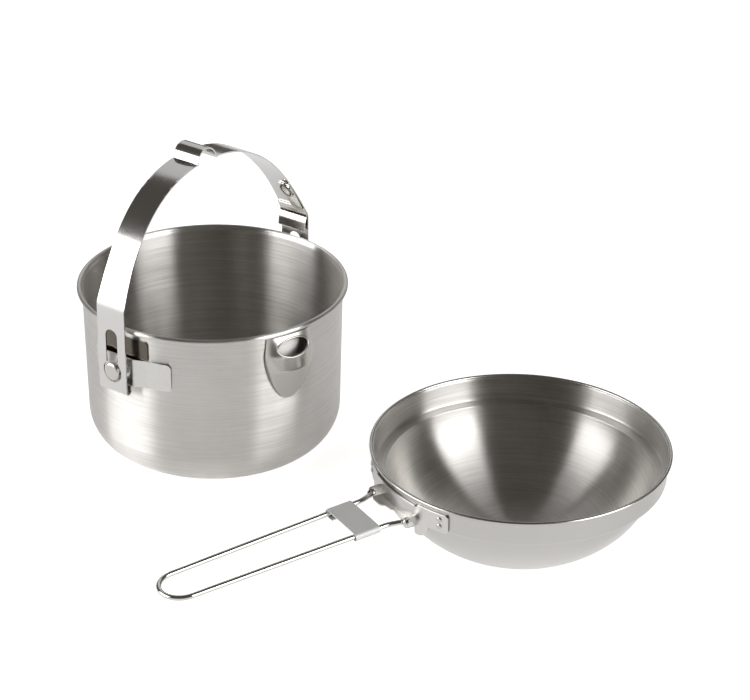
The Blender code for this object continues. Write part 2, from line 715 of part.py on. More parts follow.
def make_pan_rivets():
    outer = GAP + STRIP + GAP
    inner = -SHEET - GAP
    head = PAN_RIVET_HEAD
    profile = [(0, outer + 0.0006), (head - 0.0005, outer + 0.0005), (head, outer + 0.0001),
               (head, outer), (PAN_RIVET_SHANK, outer), (PAN_RIVET_SHANK, inner),
               (head - 0.0002, inner), (head - 0.0006, inner - 0.0005), (0, inner - 0.0005)]
    for number, seat in enumerate(pan_rivet_matrices(), start=1):
        smooth(turned(f"pan_rivet_{number}", profile, seat, 12, roughness=0.3))


# Pan handle bracket -----------------------------------------------------------------------------

def strip_span(turn):
    """Lowest and highest point of the bracket's strip at a turn from the handle's middle."""
    turn = abs(turn)
    if turn < EAR_TURN:
        return SHELF_HEIGHT - STRIP / 2, MIDDLE_TOP
    away = abs(turn - LOBE_PLACE) * PAN_BAND_TOP
    drop = math.sqrt(max(LOBE_RADIUS ** 2 - away ** 2, 0))
    bottom = min(WING_BOTTOM, LOBE_HEIGHT - drop)
    top = WING_TOP
    if turn < LOBE_PLACE:
        top = min(top, LOBE_HEIGHT + drop + 0.0015)
    end = (WING_HALF_ARC - turn) * PAN_BAND_TOP
    if end < WING_CORNER:
        trim = WING_CORNER - math.sqrt(max(WING_CORNER ** 2 - (WING_CORNER - end) ** 2, 0))
        return bottom + trim, top - trim
    return bottom, top


def pan_strip_rows():
    """Columns of the strip that hugs the band, from one wing's tip to the other's."""
    tip = WING_HALF_ARC - 0.0005
    wing = [tip + (EAR_TURN - tip) * (i / 18) ** 1.2 for i in range(19)]
    middle = [EAR_TURN * 0.95 * (1 - i / 4) for i in range(5)]
    half = wing + middle
    turns = half + [-turn for turn in reversed(half[:-1])]
    rows = []
    for turn in turns:
        bottom, top = strip_span(turn)
        row = []
        for j in range(5):
            height = bottom + (top - bottom) * j / 4
            radius = band_radius(height) + GAP + STRIP / 2
            row.append((radius * math.cos(turn), radius * math.sin(turn), height))
        rows.append(row)
    return rows


def ear_outline():
    """Side view of an ear: local X out from the pan's axis, local Y up."""
    nose = arc((HINGE_OUT, HINGE_HEIGHT), EAR_RADIUS, -90, 90, 10)
    return [(EAR_ROOT, HINGE_HEIGHT - EAR_RADIUS)] + nose + [(EAR_ROOT, HINGE_HEIGHT + EAR_RADIUS)]


def shelf_outline():
    """The plate between the ears, with a wavy outer edge; local X out, local Y sideways."""
    inner = []
    for i in range(5):
        side = SHELF_HALF_WIDTH * (1 - i / 2)
        inner.append((math.sqrt(SHELF_INNER ** 2 - side ** 2) + 0.0010, side))
    return [(out, side) for side, out in SHELF_EDGE] + inner


def make_pan_bracket():
    frame = radial_frame(HANDLE_TURN, PAN_CENTRE)
    bracket = sheet("pan_handle_bracket", pan_strip_rows(), STRIP, frame, roughness=0.25)
    shelf = plate(shelf_outline(), STRIP, frame @ Matrix.Translation((0, 0, SHELF_HEIGHT)))
    combine(bracket, shelf, "UNION")
    upright = Matrix.Rotation(math.radians(90), 4, "X")
    for side in (-1, 1):
        ear = plate(ear_outline(), STRIP, frame @ Matrix.Translation((0, side * EAR_PLACE, 0)) @ upright)
        combine(bracket, ear, "UNION")
        eye = frame @ Matrix.Translation((HINGE_OUT, side * EAR_PLACE, HINGE_HEIGHT)) @ upright
        combine(bracket, peg(WIRE_RADIUS + GAP, 3 * STRIP, eye), "DIFFERENCE")
    for seat in pan_rivet_matrices():
        combine(bracket, rivet_hole(seat), "DIFFERENCE")
    smooth(bracket)


# Pan handle -------------------------------------------------------------------------------------

def wire_half():
    """Half of the wire's centreline, from the hooked tip to the loop: (along, sideways)."""
    bend = 0.0030
    hook = arc((bend, WIRE_EAR_GAUGE + bend), bend, 180, 270, 4)
    loop = arc((WIRE_END - WIRE_LOOP_RADIUS, 0), WIRE_LOOP_RADIUS, 90, 9, 9)
    flare = [(WIRE_FLARE_NEAR, WIRE_EAR_GAUGE), (WIRE_FLARE_FAR, WIRE_HALF_GAUGE)]
    return [(0, WIRE_TIP)] + hook + flare + loop


def make_wire():
    half = wire_half()
    path = half + [(WIRE_END, 0)] + [(along, -side) for along, side in reversed(half)]
    curve = bpy.data.curves.new("handle_wire", "CURVE")
    curve.dimensions = "3D"
    curve.bevel_depth = WIRE_RADIUS
    curve.bevel_resolution = 2
    curve.use_fill_caps = True
    spline = curve.splines.new("POLY")
    spline.points.add(len(path) - 1)
    for point, (along, side) in zip(spline.points, path):
        point.co = (along, side, 0, 1)
    place("handle_wire", curve, hinge_frame(), roughness=0.1)


def slider_path():
    """Across the slider's section: (sideways, up), from one turned-under edge to the other."""
    around = WIRE_RADIUS + GAP + SLIDER_SHEET / 2
    left = arc((-WIRE_HALF_GAUGE, 0), around, 270, 90, 8)
    right = arc((WIRE_HALF_GAUGE, 0), around, 90, -90, 8)
    return [(-SLIDER_LIP, -around)] + left + right + [(SLIDER_LIP, -around)]


def make_slider():
    rows = []
    for side, up in slider_path():
        rows.append([(SLIDER_NEAR, side, up), (SLIDER_NEAR + SLIDER_LENGTH, side, up)])
    smooth(sheet("lock_slider", rows, SLIDER_SHEET, hinge_frame(), roughness=0.4))


# Build ------------------------------------------------------------------------------------------

clear_scene()
PARTS = make_collection("cooking_pot_set")
BLANKS = make_collection("blanks")
make_pot()
make_spout()
make_bail()
make_bracket("left_bail_bracket", 1)
make_bracket("right_bail_bracket", -1)
make_backing("left_bail_backing", 1)
make_backing("right_bail_backing", -1)
make_pivot("left", 1)
make_pivot("right", -1)
make_pan()
make_pan_bracket()
make_pan_rivets()
make_wire()
make_slider()
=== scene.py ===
import math

import bmesh
import bpy
from mathutils import Matrix, Vector


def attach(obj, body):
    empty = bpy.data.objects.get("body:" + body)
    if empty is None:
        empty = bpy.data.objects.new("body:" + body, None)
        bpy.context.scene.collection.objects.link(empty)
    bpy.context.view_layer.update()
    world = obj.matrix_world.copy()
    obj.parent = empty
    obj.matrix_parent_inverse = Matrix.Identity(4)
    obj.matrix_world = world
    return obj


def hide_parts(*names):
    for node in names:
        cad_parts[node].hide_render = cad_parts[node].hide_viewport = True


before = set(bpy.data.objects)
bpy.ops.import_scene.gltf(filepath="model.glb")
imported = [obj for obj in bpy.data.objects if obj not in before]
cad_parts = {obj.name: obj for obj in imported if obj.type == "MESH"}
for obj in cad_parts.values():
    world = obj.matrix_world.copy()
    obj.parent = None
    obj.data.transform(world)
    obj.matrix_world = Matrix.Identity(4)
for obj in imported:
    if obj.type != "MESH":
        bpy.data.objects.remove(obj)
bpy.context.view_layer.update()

# The same driving sizes as the CAD part, in metres
SHEET = 0.0008
STRIP = 0.0010
GAP = 0.0003
FINE = 320                     # facets of a turned shell
CUT_DEPTH = 0.0100             # length of the pegs that cut small holes
SHARP = math.radians(32)       # a sharper edge than this keeps its crease

POT_HEIGHT = 0.1175
POT_RIM_RADIUS = 0.0925
POT_BEAD = 0.0034
POT_WALL_TOP = 0.0890
POT_WALL_LOW = 0.0875
POT_CORNER = 0.0265

BAIL_TURN = math.radians(36)
BAIL_OFFSET = 0.0050
BAIL_WIDTH = 0.0235
BAIL_ARCH_WIDTH = 0.0212
BAIL_TAPER = 0.0250
BAIL_SWEEP = math.tan(math.radians(5.1))
BAIL_REACH = 0.0977
BAIL_BEND = 0.1330
BAIL_LEAN = math.radians(26.2)
BAIL_TOP = 0.2063
BAIL_SHOULDER = 0.0333
BAIL_CROWN = 0.0590
PIVOT_HEIGHT = 0.0862
FOLD_RADIUS = 0.00205
FOLD_HEIGHT = 0.0733
FOLD_LIP = 0.0033
HUMP_CENTRE = 0.0020
HUMP_RADIUS = 0.0092
HUMP_DROP = 0.0012             # from the arch's top down to the hump's centre
HUMP_FOOT = 0.0002
HUMP_FOOT_DROP = 0.0008
HUMP_FOOT_BEND = 0.0013
HUMP_CLEAR = 0.0016            # where the arch stops beside the hump
DIMPLE_START = 0.0008
DIMPLE_LENGTH = 0.0042
DIMPLE_DEPTH = 0.0007
DIMPLE_SPAN = 0.85             # share of the strap's width
BEND_EASE = 0.0012             # the leg stops this far under the shoulder's bend
ARCH_START_PARAMETER = 0.012
STRAP_COLUMNS = 16
SLOT_WIDTH = 0.0100
SLOT_LENGTH = 0.0258
KEYHOLE_RADIUS = 0.00775

BRACKET_REACH = 0.0921
BRACKET_HEIGHT = 0.0200
BRACKET_PLATE = 0.0115
BRACKET_FOOT = 0.0208
BRACKET_WINGS = (math.radians(17.0), math.radians(24.8))
BRACKET_CORNER = 0.0035
BRACKET_LEVELS = (-1, -0.5, 0, 0.5, 1)
BRACKET_FOOT_BEND = 0.0010
BRACKET_BEND = 0.0018
BACKING_SHEET = 0.0008
BACKING_LOW = 0.0800
BACKING_STEP = 0.0968
BACKING_TOP = 0.1100
BACKING_HALF_WIDTH = 0.0160
BACKING_HALF_HEAD = 0.0222
BACKING_CORNER = 0.0020
BACKING_SPLIT = 0.00005        # half of the gap between the two columns at the step

RIVET_HEAD = 0.00625
RIVET_SHOULDER = 0.0045
RIVET_SHANK = 0.0025
RIVET_TAIL = 0.0034
RIVET_CROWN = 0.0016
RIVET_EDGE = 0.0007
RIVET_TAIL_HEIGHT = 0.0008
WASHER_THICKNESS = 0.0005

CATCH_WIDTH = 0.0233
CATCH_SHEET = 0.0008
CATCH_REACH = 0.0935
CATCH_ROLL = 0.0014
CATCH_LOW = 0.1223
CATCH_TOP_PARAMETER = 0.29
CATCH_START_PARAMETER = 0.045
CATCH_SHANK = 0.0020
CATCH_TAIL = 0.0030
CATCH_SHORT = 0.0070
CATCH_NECK_PARAMETER = 0.075
CATCH_FLARE_PARAMETER = 0.003
CATCH_TONGUE = 0.0094
CATCH_RAMP = ((0.0028, 0.0004), (0.0010, 0.0045))     # out from the reach, down from the bail's bend
CATCH_CURL_START = 172
CATCH_BEND = 0.0020
CATCH_MIDDLE = 0.0020
CATCH_TAIL_HEAD = 0.0034
CATCH_TAIL_CROWN = 0.0026
CATCH_TAIL_HEIGHT = 0.0010
BUTTON_PARAMETER = 0.2425
BUTTON_SIDE = -0.0056
BUTTON_HALF_WIDTH = 0.0050
BUTTON_HALF_LENGTH = 0.0076
BUTTON_THICKNESS = 0.0010
BUTTON_EDGE = 0.0003
BUTTON_RIM = 0.0009            # from the button's edge to its groove
BUTTON_GROOVE = (0.0011, 0.0016)
BUTTON_GROOVE_DEPTH = 0.0005
BUTTON_CENTRE = 0.0019

SPOUT_TURN = math.radians(38)
SPOUT_ROOT = 0.0660
SPOUT_WIDEST = 0.1000
SPOUT_TOP = 0.1132
SPOUT_HALF_WIDTH = 0.0186
SPOUT_CREASE = 0.0900
SPOUT_DEPTH = 0.0092
SPOUT_LIP_HEIGHT = 0.1010
SPOUT_LIP_DEPTH = 0.0072
SPOUT_TOP_DEPTH = 0.0016
SPOUT_FULLNESS = 0.5           # 1 gives a parabola across, 0.5 an ellipse
SPOUT_TIP_DEPTH = 0.0004
SPOUT_TIP_EXTRA = 0.0004       # the tail narrows as if it ran this far past its root
SPOUT_CREASE_BEND = 0.0016
SPOUT_HEAD_TAPER = 0.0015
SPOUT_TAIL_POWER = 1.5
SPOUT_ROWS = 70
MOUTH_HALF_WIDTH = 0.0118
MOUTH_HALF_HEIGHT = 0.0055
MOUTH_HEIGHT = 0.1053
MOUTH_LIP = 0.0007
MOUTH_LIP_OUT = 0.0004
MOUTH_CUT = 0.0160
MOUTH_CUT_OUT = 0.0086
DUCT_HEIGHT = 0.0865
DUCT_HALF_WIDTH = 0.0085
DUCT_HALF_HEIGHT = 0.0085

PAN_CENTRE = Vector((0.2059, -0.1360, 0.0))
PAN_HEIGHT = 0.0690
PAN_RIM_RADIUS = 0.0974
PAN_BEAD = 0.0024
PAN_BAND_TOP = 0.0950
PAN_BAND_LOW = 0.0946
PAN_LEDGE = 0.0506
PAN_BOWL_RADIUS = 0.0870
PAN_BASE_RADIUS = 0.0260
PAN_BOWL_POWER = 1.7

HANDLE_TURN = math.radians(-58.5)
HINGE_OUT = 0.0980
HINGE_HEIGHT = 0.0515
HANDLE_DROOP = math.radians(4)
WIRE_RADIUS = 0.00175
WIRE_HALF_GAUGE = 0.0163
WIRE_LOOP_RADIUS = 0.0140
WIRE_EAR_GAUGE = 0.0187
WIRE_TIP = 0.0238
WIRE_END = 0.1610
WIRE_FLARE_NEAR = 0.0040
WIRE_FLARE_FAR = 0.0120
WIRE_FLARE_BEND = 0.0035
WIRE_HOOK_BEND = 0.0030
WIRE_SLIM = 0.985              # keeps the round wire inside the CAD wire's facets
SLIDER_NEAR = 0.0186
SLIDER_LENGTH = 0.0175
SLIDER_SHEET = 0.0008
SLIDER_LIP = 0.0110

WING_HALF_ARC = math.radians(28.4)
WING_TOP = 0.0636
WING_BOTTOM = 0.0532
WING_CORNER = 0.0020
WING_SIDE_GAP = 0.0003         # radians
LOBE_PLACE = math.radians(14.2)
LOBE_HEIGHT = 0.0512
LOBE_RADIUS = 0.0090
LOBE_TOP_EXTRA = 0.0015
MIDDLE_TOP = 0.0620
EAR_PLACE = 0.0215
EAR_ROOT = 0.0930
EAR_RADIUS = 0.0040
SHELF_HEIGHT = 0.0513
SHELF_HALF_WIDTH = 0.0160
SHELF_INNER = 0.0945
SHELF_TUCK = 0.0010            # how far the plate runs into the strip
SHELF_BEND = 0.0014
SHELF_EDGE = ((-0.0160, 0.1012), (-0.0135, 0.1024), (-0.0050, 0.1024), (-0.0030, 0.0998),
              (0.0026, 0.0993), (0.0043, 0.0980), (0.0098, 0.0989), (0.0160, 0.0996))
EAR_TURN = math.asin(EAR_PLACE / (PAN_BAND_LOW + GAP + STRIP / 2))
PAN_RIVET_TURN = math.radians(24.6)
PAN_RIVET_HEIGHTS = (0.0552, 0.0600)
PAN_RIVET_HEAD = 0.0017
PAN_RIVET_SHANK = 0.0009

# Looks
FINE_BEVEL = 0.00012
PRESSED_BEVEL = 0.00015
BRACKET_BEVEL = 0.00016
STRAP_BEVEL = 0.00018
LIGHT_CENTRE = Vector((0.1, -0.03, 0.05))
SOFTBOXES = (                  # name, heading in degrees, distance, height, width, length, power
    ("left_softbox", -76, 1.7, 0.65, 1.5, 1.1, 25),
    ("right_softbox", 58, 1.7, 0.65, 1.2, 1.2, 26),
    ("back_softbox", 180, 1.9, 1.35, 2.4, 1.5, 7),
)
ROOM_COLOUR = (0.095, 0.088, 0.078, 1)
FLOOR_COLOUR = (0.85, 0.85, 0.85, 1)
FLOOR_GLOW_REFLECTED = 0.40
FLOOR_GLOW_SEEN = 0.80
FLOOR_HALF = 5.0
FLOOR_PLACE = (0.1, 0, -0.0002)
CAMERA_LENS = 117.12
CAMERA_PLACE = (0.1114, -1.5004, 0.8425)
CAMERA_DOWN = math.radians(27.39)
CAMERA_ROLL = 0.0139

Z_AXIS = Vector((0, 0, 1))


# Frames -----------------------------------------------------------------------------------------

def heading(turn):
    return Vector((math.sin(turn), -math.cos(turn), 0))


def radial_frame(turn, centre=Vector((0, 0, 0))):
    out = heading(turn)
    side = Z_AXIS.cross(out)
    matrix = Matrix((out, side, Z_AXIS)).transposed().to_4x4()
    matrix.translation = centre
    return matrix


def bail_frame(end):
    turned_frame = radial_frame(-BAIL_TURN if end > 0 else math.pi - BAIL_TURN)
    return turned_frame @ Matrix.Translation((0, -end * BAIL_OFFSET, 0))


def hinge_frame():
    return (radial_frame(HANDLE_TURN, PAN_CENTRE) @ Matrix.Translation((HINGE_OUT, 0, HINGE_HEIGHT))
            @ Matrix.Rotation(HANDLE_DROOP, 4, "Y"))


def facing_out(reach, height):
    turn = Matrix.Rotation(math.radians(90), 4, "Y") @ Matrix.Rotation(math.radians(90), 4, "Z")
    return Matrix.Translation((reach, 0, height)) @ turn


# Materials --------------------------------------------------------------------------------------

class Steel:
    """Builds one stainless finish. Grain runs round the piece's own axis, along a direction, or nowhere."""

    GRAIN_SHARE = 0.7              # of the roughness, the rest comes from the slow cloud
    GRAIN_TINT = 0.6
    RELIEF = 0.0001

    def __init__(self, name, colour, roughness, anisotropy=0.0):
        self.material = bpy.data.materials.new(name)
        self.material.use_nodes = True
        self.tree = self.material.node_tree
        self.shader = self.tree.nodes["Principled BSDF"]
        self.shader.inputs["Metallic"].default_value = 1.0
        self.shader.inputs["Anisotropic"].default_value = anisotropy
        self.colour = colour
        self.roughness = roughness
        self.place = self.node("ShaderNodeTexCoord").outputs["Object"]

    def node(self, kind, **settings):
        item = self.tree.nodes.new(kind)
        for key, value in settings.items():
            setattr(item, key, value)
        return item

    def link(self, source, target):
        self.tree.links.new(source, target)

    def math(self, operation, first, second=None):
        item = self.node("ShaderNodeMath", operation=operation)
        for socket, value in zip(item.inputs, (first, second)):
            if value is None:
                continue
            if isinstance(value, (int, float)):
                socket.default_value = value
            else:
                self.link(value, socket)
        return item.outputs[0]

    def scaled(self, scale):
        item = self.node("ShaderNodeMapping")
        item.inputs["Scale"].default_value = scale
        self.link(self.place, item.inputs["Vector"])
        return item.outputs[0]

    def round_grain(self, around, across):
        """Coordinates for rings: slow round the axis, fast along the profile."""
        split = self.node("ShaderNodeSeparateXYZ")
        self.link(self.place, split.inputs[0])
        x, y, z = split.outputs
        angle = self.math("ARCTAN2", y, x)
        squares = self.math("ADD", self.math("MULTIPLY", x, x), self.math("MULTIPLY", y, y))
        profile = self.math("ADD", self.math("MULTIPLY", z, 0.9), self.math("SQRT", squares))
        join = self.node("ShaderNodeCombineXYZ")
        self.link(self.math("MULTIPLY", self.math("SINE", angle), around), join.inputs[0])
        self.link(self.math("MULTIPLY", self.math("COSINE", angle), around), join.inputs[1])
        self.link(self.math("MULTIPLY", profile, across), join.inputs[2])
        return join.outputs[0]

    def noise(self, vector, scale, detail=3.0, rough=0.55):
        item = self.node("ShaderNodeTexNoise")
        item.inputs["Scale"].default_value = scale
        item.inputs["Detail"].default_value = detail
        item.inputs["Roughness"].default_value = rough
        self.link(vector, item.inputs["Vector"])
        return item.outputs["Fac"]

    def ranged(self, value, low, high, start=0.3, end=0.7):
        item = self.node("ShaderNodeMapRange")
        item.inputs["From Min"].default_value = start
        item.inputs["From Max"].default_value = end
        item.inputs["To Min"].default_value = low
        item.inputs["To Max"].default_value = high
        self.link(value, item.inputs["Value"])
        return item.outputs[0]

    def finish(self, grain, cloud, spread, bump, tint, tangent=None):
        """Grain roughens and bumps the surface, and a slow cloud varies its colour a little."""
        low, high = self.roughness - spread, self.roughness + spread
        share, rest = self.GRAIN_SHARE, 1 - self.GRAIN_SHARE
        from_grain = self.ranged(grain, low * share, high * share)
        from_cloud = self.ranged(cloud, low * rest, high * rest)
        self.link(self.math("ADD", from_grain, from_cloud), self.shader.inputs["Roughness"])
        mix = self.node("ShaderNodeMix", data_type="RGBA")
        dark = [channel * (1 - tint) for channel in self.colour]
        light = [min(channel * (1 + tint), 1) for channel in self.colour]
        mix.inputs[6].default_value = (*dark, 1)
        mix.inputs[7].default_value = (*light, 1)
        blend = self.math("ADD", self.ranged(grain, 0, self.GRAIN_TINT),
                          self.ranged(cloud, 0, 1 - self.GRAIN_TINT))
        self.link(blend, mix.inputs[0])
        self.link(mix.outputs[2], self.shader.inputs["Base Color"])
        relief = self.node("ShaderNodeBump")
        relief.inputs["Strength"].default_value = bump
        relief.inputs["Distance"].default_value = self.RELIEF
        self.link(grain, relief.inputs["Height"])
        self.link(relief.outputs[0], self.shader.inputs["Normal"])
        if tangent:
            direction = self.node("ShaderNodeTangent", direction_type="RADIAL", axis=tangent)
            self.link(direction.outputs[0], self.shader.inputs["Tangent"])
        return self.material


def ring_steel(name, colour, roughness, anisotropy, across, bump, tint, spread):
    steel = Steel(name, colour, roughness, anisotropy)
    rings = steel.round_grain(1.6, across)
    grain = steel.noise(rings, 1.0, 5.0, 0.62)
    cloud = steel.noise(steel.place, 22.0, 2.0)
    steel.shader.inputs["Anisotropic Rotation"].default_value = 0.25
    return steel.finish(grain, cloud, spread, bump, tint, "Z")


def plain_steel(name, colour, roughness, stretch, bump, tint, spread):
    steel = Steel(name, colour, roughness)
    grain = steel.noise(steel.scaled(stretch), 1.0, 4.0, 0.6)
    cloud = steel.noise(steel.place, 60.0, 3.0)
    return steel.finish(grain, cloud, spread, bump, tint)


EVEN = (2500, 2500, 2500)
POT_STEEL = ring_steel("pot_inside", (0.68, 0.665, 0.64), 0.34, 1.0, 1200, 0.10, 0.22, 0.07)
PAN_OUT = ring_steel("pan_outside", (0.53, 0.52, 0.50), 0.22, 0.0, 3200, 0.0, 0.01, 0.0)
PAN_IN = ring_steel("pan_inside", (0.62, 0.605, 0.585), 0.34, 1.0, 900, 0.10, 0.24, 0.07)
POLISHED = plain_steel("bail_polish", (0.62, 0.615, 0.605), 0.15, (300, 2200, 300), 0.02, 0.02, 0.03)
CATCH_POLISH = plain_steel("catch_polish", (0.62, 0.605, 0.575), 0.12, (400, 1500, 400), 0.01, 0.02, 0.03)
WIRE_POLISH = plain_steel("wire_polish", (0.66, 0.65, 0.63), 0.11, (900, 900, 900), 0.03, 0.02, 0.04)
PRESSED = plain_steel("pressed_satin", (0.62, 0.61, 0.59), 0.28, EVEN, 0.02, 0.02, 0.04)
# Near-black base colour: painted shade on the backing plate in the stand-off behind the bracket, not the
# steel's own colour
BACKING_PAINTED_SHADE = plain_steel("backing_painted_shade", (0.13, 0.115, 0.095), 0.22, EVEN, 0.02, 0.04, 0.04)
# Near-black steel: painted shade in the catch button's groove
GROOVE_PAINTED_SHADE = plain_steel("groove_painted_shade", (0.07, 0.062, 0.05), 0.40, EVEN, 0.02, 0.04, 0.04)
TUMBLED = plain_steel("rivet_satin", (0.55, 0.53, 0.50), 0.30, EVEN, 0.05, 0.03, 0.07)
MATT = plain_steel("slider_matt", (0.66, 0.66, 0.655), 0.60, (500, 3000, 500), 0.08, 0.04, 0.05)
MATT.node_tree.nodes["Principled BSDF"].inputs["Metallic"].default_value = 0.5
SPOUT_STEEL = plain_steel("spout_satin", (0.48, 0.465, 0.44), 0.24, EVEN, 0.03, 0.02, 0.04)


# Shapes -----------------------------------------------------------------------------------------

def arc(centre, radius, start, end, count):
    points = []
    for index in range(count + 1):
        angle = math.radians(start + (end - start) * index / count)
        points.append((centre[0] + radius * math.cos(angle), centre[1] + radius * math.sin(angle)))
    return points


def rounded(points, radius, count=6):
    """A 2D path with its corners turned into short arcs where there is room for them."""
    made = [points[0]]
    for before, corner, after in zip(points, points[1:], points[2:]):
        before, corner, after = Vector(before), Vector(corner), Vector(after)
        back = before - corner
        ahead = after - corner
        reach = min(radius, 0.49 * back.length, 0.49 * ahead.length)
        start = corner + back.normalized() * reach
        end = corner + ahead.normalized() * reach
        for index in range(count + 1):
            share = index / count
            made.append(tuple(start.lerp(corner, share).lerp(corner.lerp(end, share), share)))
    return made + [points[-1]]


def show(name, mesh, matrix, materials, body, stands_for, edged=True):
    item = bpy.data.objects.new(name, mesh)
    item.matrix_world = matrix
    bpy.context.scene.collection.objects.link(item)
    for material in materials:
        mesh.materials.append(material)
    mesh.shade_smooth()
    mesh.set_sharp_from_angle(angle=SHARP)
    if edged:
        even = item.modifiers.new("even_shading", "WEIGHTED_NORMAL")
        even.keep_sharp = True
    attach(item, body)
    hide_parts(*stands_for)


def blank(mesh, matrix):
    item = bpy.data.objects.new("blank", mesh)
    item.matrix_world = matrix
    bpy.context.scene.collection.objects.link(item)
    return item


def turned_mesh(name, profile, steps, inner=None):
    """Spin (radius, height[, stretch]) rings; bands past the first `inner` take the second material."""
    builder = bmesh.new()
    rings = []
    for radius, height, *stretch in profile:
        if radius < 1e-6:
            rings.append([builder.verts.new((0, 0, height))])
            continue
        longer = stretch[0] if stretch else 1
        rings.append([builder.verts.new((radius * longer * math.cos(2 * math.pi * k / steps),
                                         radius * math.sin(2 * math.pi * k / steps), height))
                      for k in range(steps)])
    for band, (low, high) in enumerate(zip(rings, rings[1:])):
        for k in range(steps):
            m = (k + 1) % steps
            if len(low) == 1:
                corners = [low[0], high[m], high[k]]
            elif len(high) == 1:
                corners = [low[k], low[m], high[0]]
            else:
                corners = [low[k], low[m], high[m], high[k]]
            face = builder.faces.new(corners)
            face.material_index = int(inner is not None and band >= inner)
    bmesh.ops.recalc_face_normals(builder, faces=builder.faces)
    mesh = bpy.data.meshes.new(name)
    builder.to_mesh(mesh)
    builder.free()
    return mesh


def sheet_mesh(name, rows, thickness):
    """A grid bent through rows of points, thickened evenly on both sides."""
    builder = bmesh.new()
    grid = [[builder.verts.new(point) for point in row] for row in rows]
    for low, high in zip(grid, grid[1:]):
        for k in range(len(low) - 1):
            builder.faces.new([low[k], low[k + 1], high[k + 1], high[k]])
    mesh = bpy.data.meshes.new(name)
    builder.to_mesh(mesh)
    builder.free()
    item = blank(mesh, Matrix.Identity(4))
    thicken = item.modifiers.new("thickness", "SOLIDIFY")
    thicken.thickness = thickness
    thicken.offset = 0
    thicken.use_even_offset = True
    return item


def plate_mesh(outline, thickness):
    curve = bpy.data.curves.new("blank", "CURVE")
    curve.dimensions = "2D"
    curve.fill_mode = "BOTH"
    curve.extrude = thickness / 2
    spline = curve.splines.new("POLY")
    spline.use_cyclic_u = True
    spline.points.add(len(outline) - 1)
    for point, (x, y) in zip(spline.points, outline):
        point.co = (x, y, 0, 1)
    flat = bpy.data.objects.new("outline", curve)
    bpy.context.scene.collection.objects.link(flat)
    mesh = bpy.data.meshes.new_from_object(flat.evaluated_get(bpy.context.evaluated_depsgraph_get()))
    bpy.data.objects.remove(flat)
    builder = bmesh.new()
    builder.from_mesh(mesh)
    bmesh.ops.remove_doubles(builder, verts=builder.verts, dist=0.000001)
    bmesh.ops.recalc_face_normals(builder, faces=builder.faces)
    builder.to_mesh(mesh)
    builder.free()
    return mesh


def peg_mesh(radius, length, steps=48, stretch=1.0):
    mesh = bpy.data.meshes.new("blank")
    builder = bmesh.new()
    bmesh.ops.create_cone(builder, cap_ends=True, segments=steps, radius1=radius, radius2=radius,
                          depth=length, matrix=Matrix.Diagonal((1, stretch, 1, 1)))
    builder.to_mesh(mesh)
    builder.free()
    return mesh


def baked(item, steps, bevel=0.0):
    """Apply cuts and joins, each (mesh, matrix, operation), then a small bevel, and return the mesh."""
    tools = []
    for mesh, matrix, operation in steps:
        tool = blank(mesh, matrix)
        tools.append(tool)
        step = item.modifiers.new("step", "BOOLEAN")
        step.operation = operation
        step.object = tool
        step.solver = "EXACT"
    if bevel:
        edge = item.modifiers.new("edge", "BEVEL")
        edge.width = bevel
        edge.segments = 2
        edge.limit_method = "ANGLE"
        edge.angle_limit = math.radians(50)
        edge.miter_outer = "MITER_ARC"
    bpy.context.view_layer.update()
    graph = bpy.context.evaluated_depsgraph_get()
    mesh = bpy.data.meshes.new_from_object(item.evaluated_get(graph))
    for tool in tools + [item]:
        bpy.data.objects.remove(tool)
    return mesh


def tube_ring(builder, point, along, up, radius, steps):
    """Vertices of one round section of a tube that runs along a direction."""
    side = along.cross(up).normalized()
    rise = side.cross(along).normalized()
    angles = [2 * math.pi * k / steps for k in range(steps)]
    return [builder.verts.new(point + radius * (math.cos(angle) * side + math.sin(angle) * rise))
            for angle in angles]


def join_rings(builder, lower, upper):
    for low, high in zip(lower, upper):
        for k in range(len(low)):
            m = (k + 1) % len(low)
            builder.faces.new([low[k], low[m], high[m], high[k]])


def tube_mesh(name, path, radius, steps):
    """A round wire along 3D points, with flat closed ends."""
    points = [Vector(point) for point in path]
    builder = bmesh.new()
    rings = []
    for index, point in enumerate(points):
        ahead = points[min(index + 1, len(points) - 1)] - point
        back = point - points[max(index - 1, 0)]
        along = (ahead.normalized() + back.normalized()).normalized()
        rings.append(tube_ring(builder, point, along, Z_AXIS, radius, steps))
    join_rings(builder, rings, rings[1:])
    builder.faces.new(rings[0])
    builder.faces.new(rings[-1])
    bmesh.ops.recalc_face_normals(builder, faces=builder.faces)
    mesh = bpy.data.meshes.new(name)
    builder.to_mesh(mesh)
    builder.free()
    return mesh


# Pot --------------------------------------------------------------------------------------------

def wall_radius(height):
    share = (height - POT_CORNER) / (POT_HEIGHT - POT_BEAD - POT_CORNER)
    return POT_WALL_LOW + (POT_WALL_TOP - POT_WALL_LOW) * share


def pot_profile():
    low = POT_WALL_LOW - POT_CORNER
    bead = POT_BEAD / 2
    centre = (POT_RIM_RADIUS - bead, POT_HEIGHT - bead)
    inner = arc((low, POT_CORNER), POT_CORNER - SHEET, -90, 0, 28)
    outer = arc((low, POT_CORNER), POT_CORNER, 0, -90, 28)
    roll = arc(centre, bead, 172, -150, 40)
    floor = [(low * share, SHEET) for share in (0, 0.25, 0.5, 0.75)]
    wall_top = POT_HEIGHT - POT_BEAD
    neck = rounded([(POT_WALL_TOP - SHEET, wall_top - 0.0020), (POT_WALL_TOP - SHEET, wall_top),
                    (POT_WALL_TOP - SHEET + 0.0004, POT_HEIGHT - bead * 1.2), roll[0]], 0.0008)
    under = [(POT_WALL_TOP, wall_top - 0.0003)]
    base = [(low * share, 0) for share in (0.75, 0.5, 0.25, 0)]
    return floor + inner + neck[:-1] + roll + under + outer + base


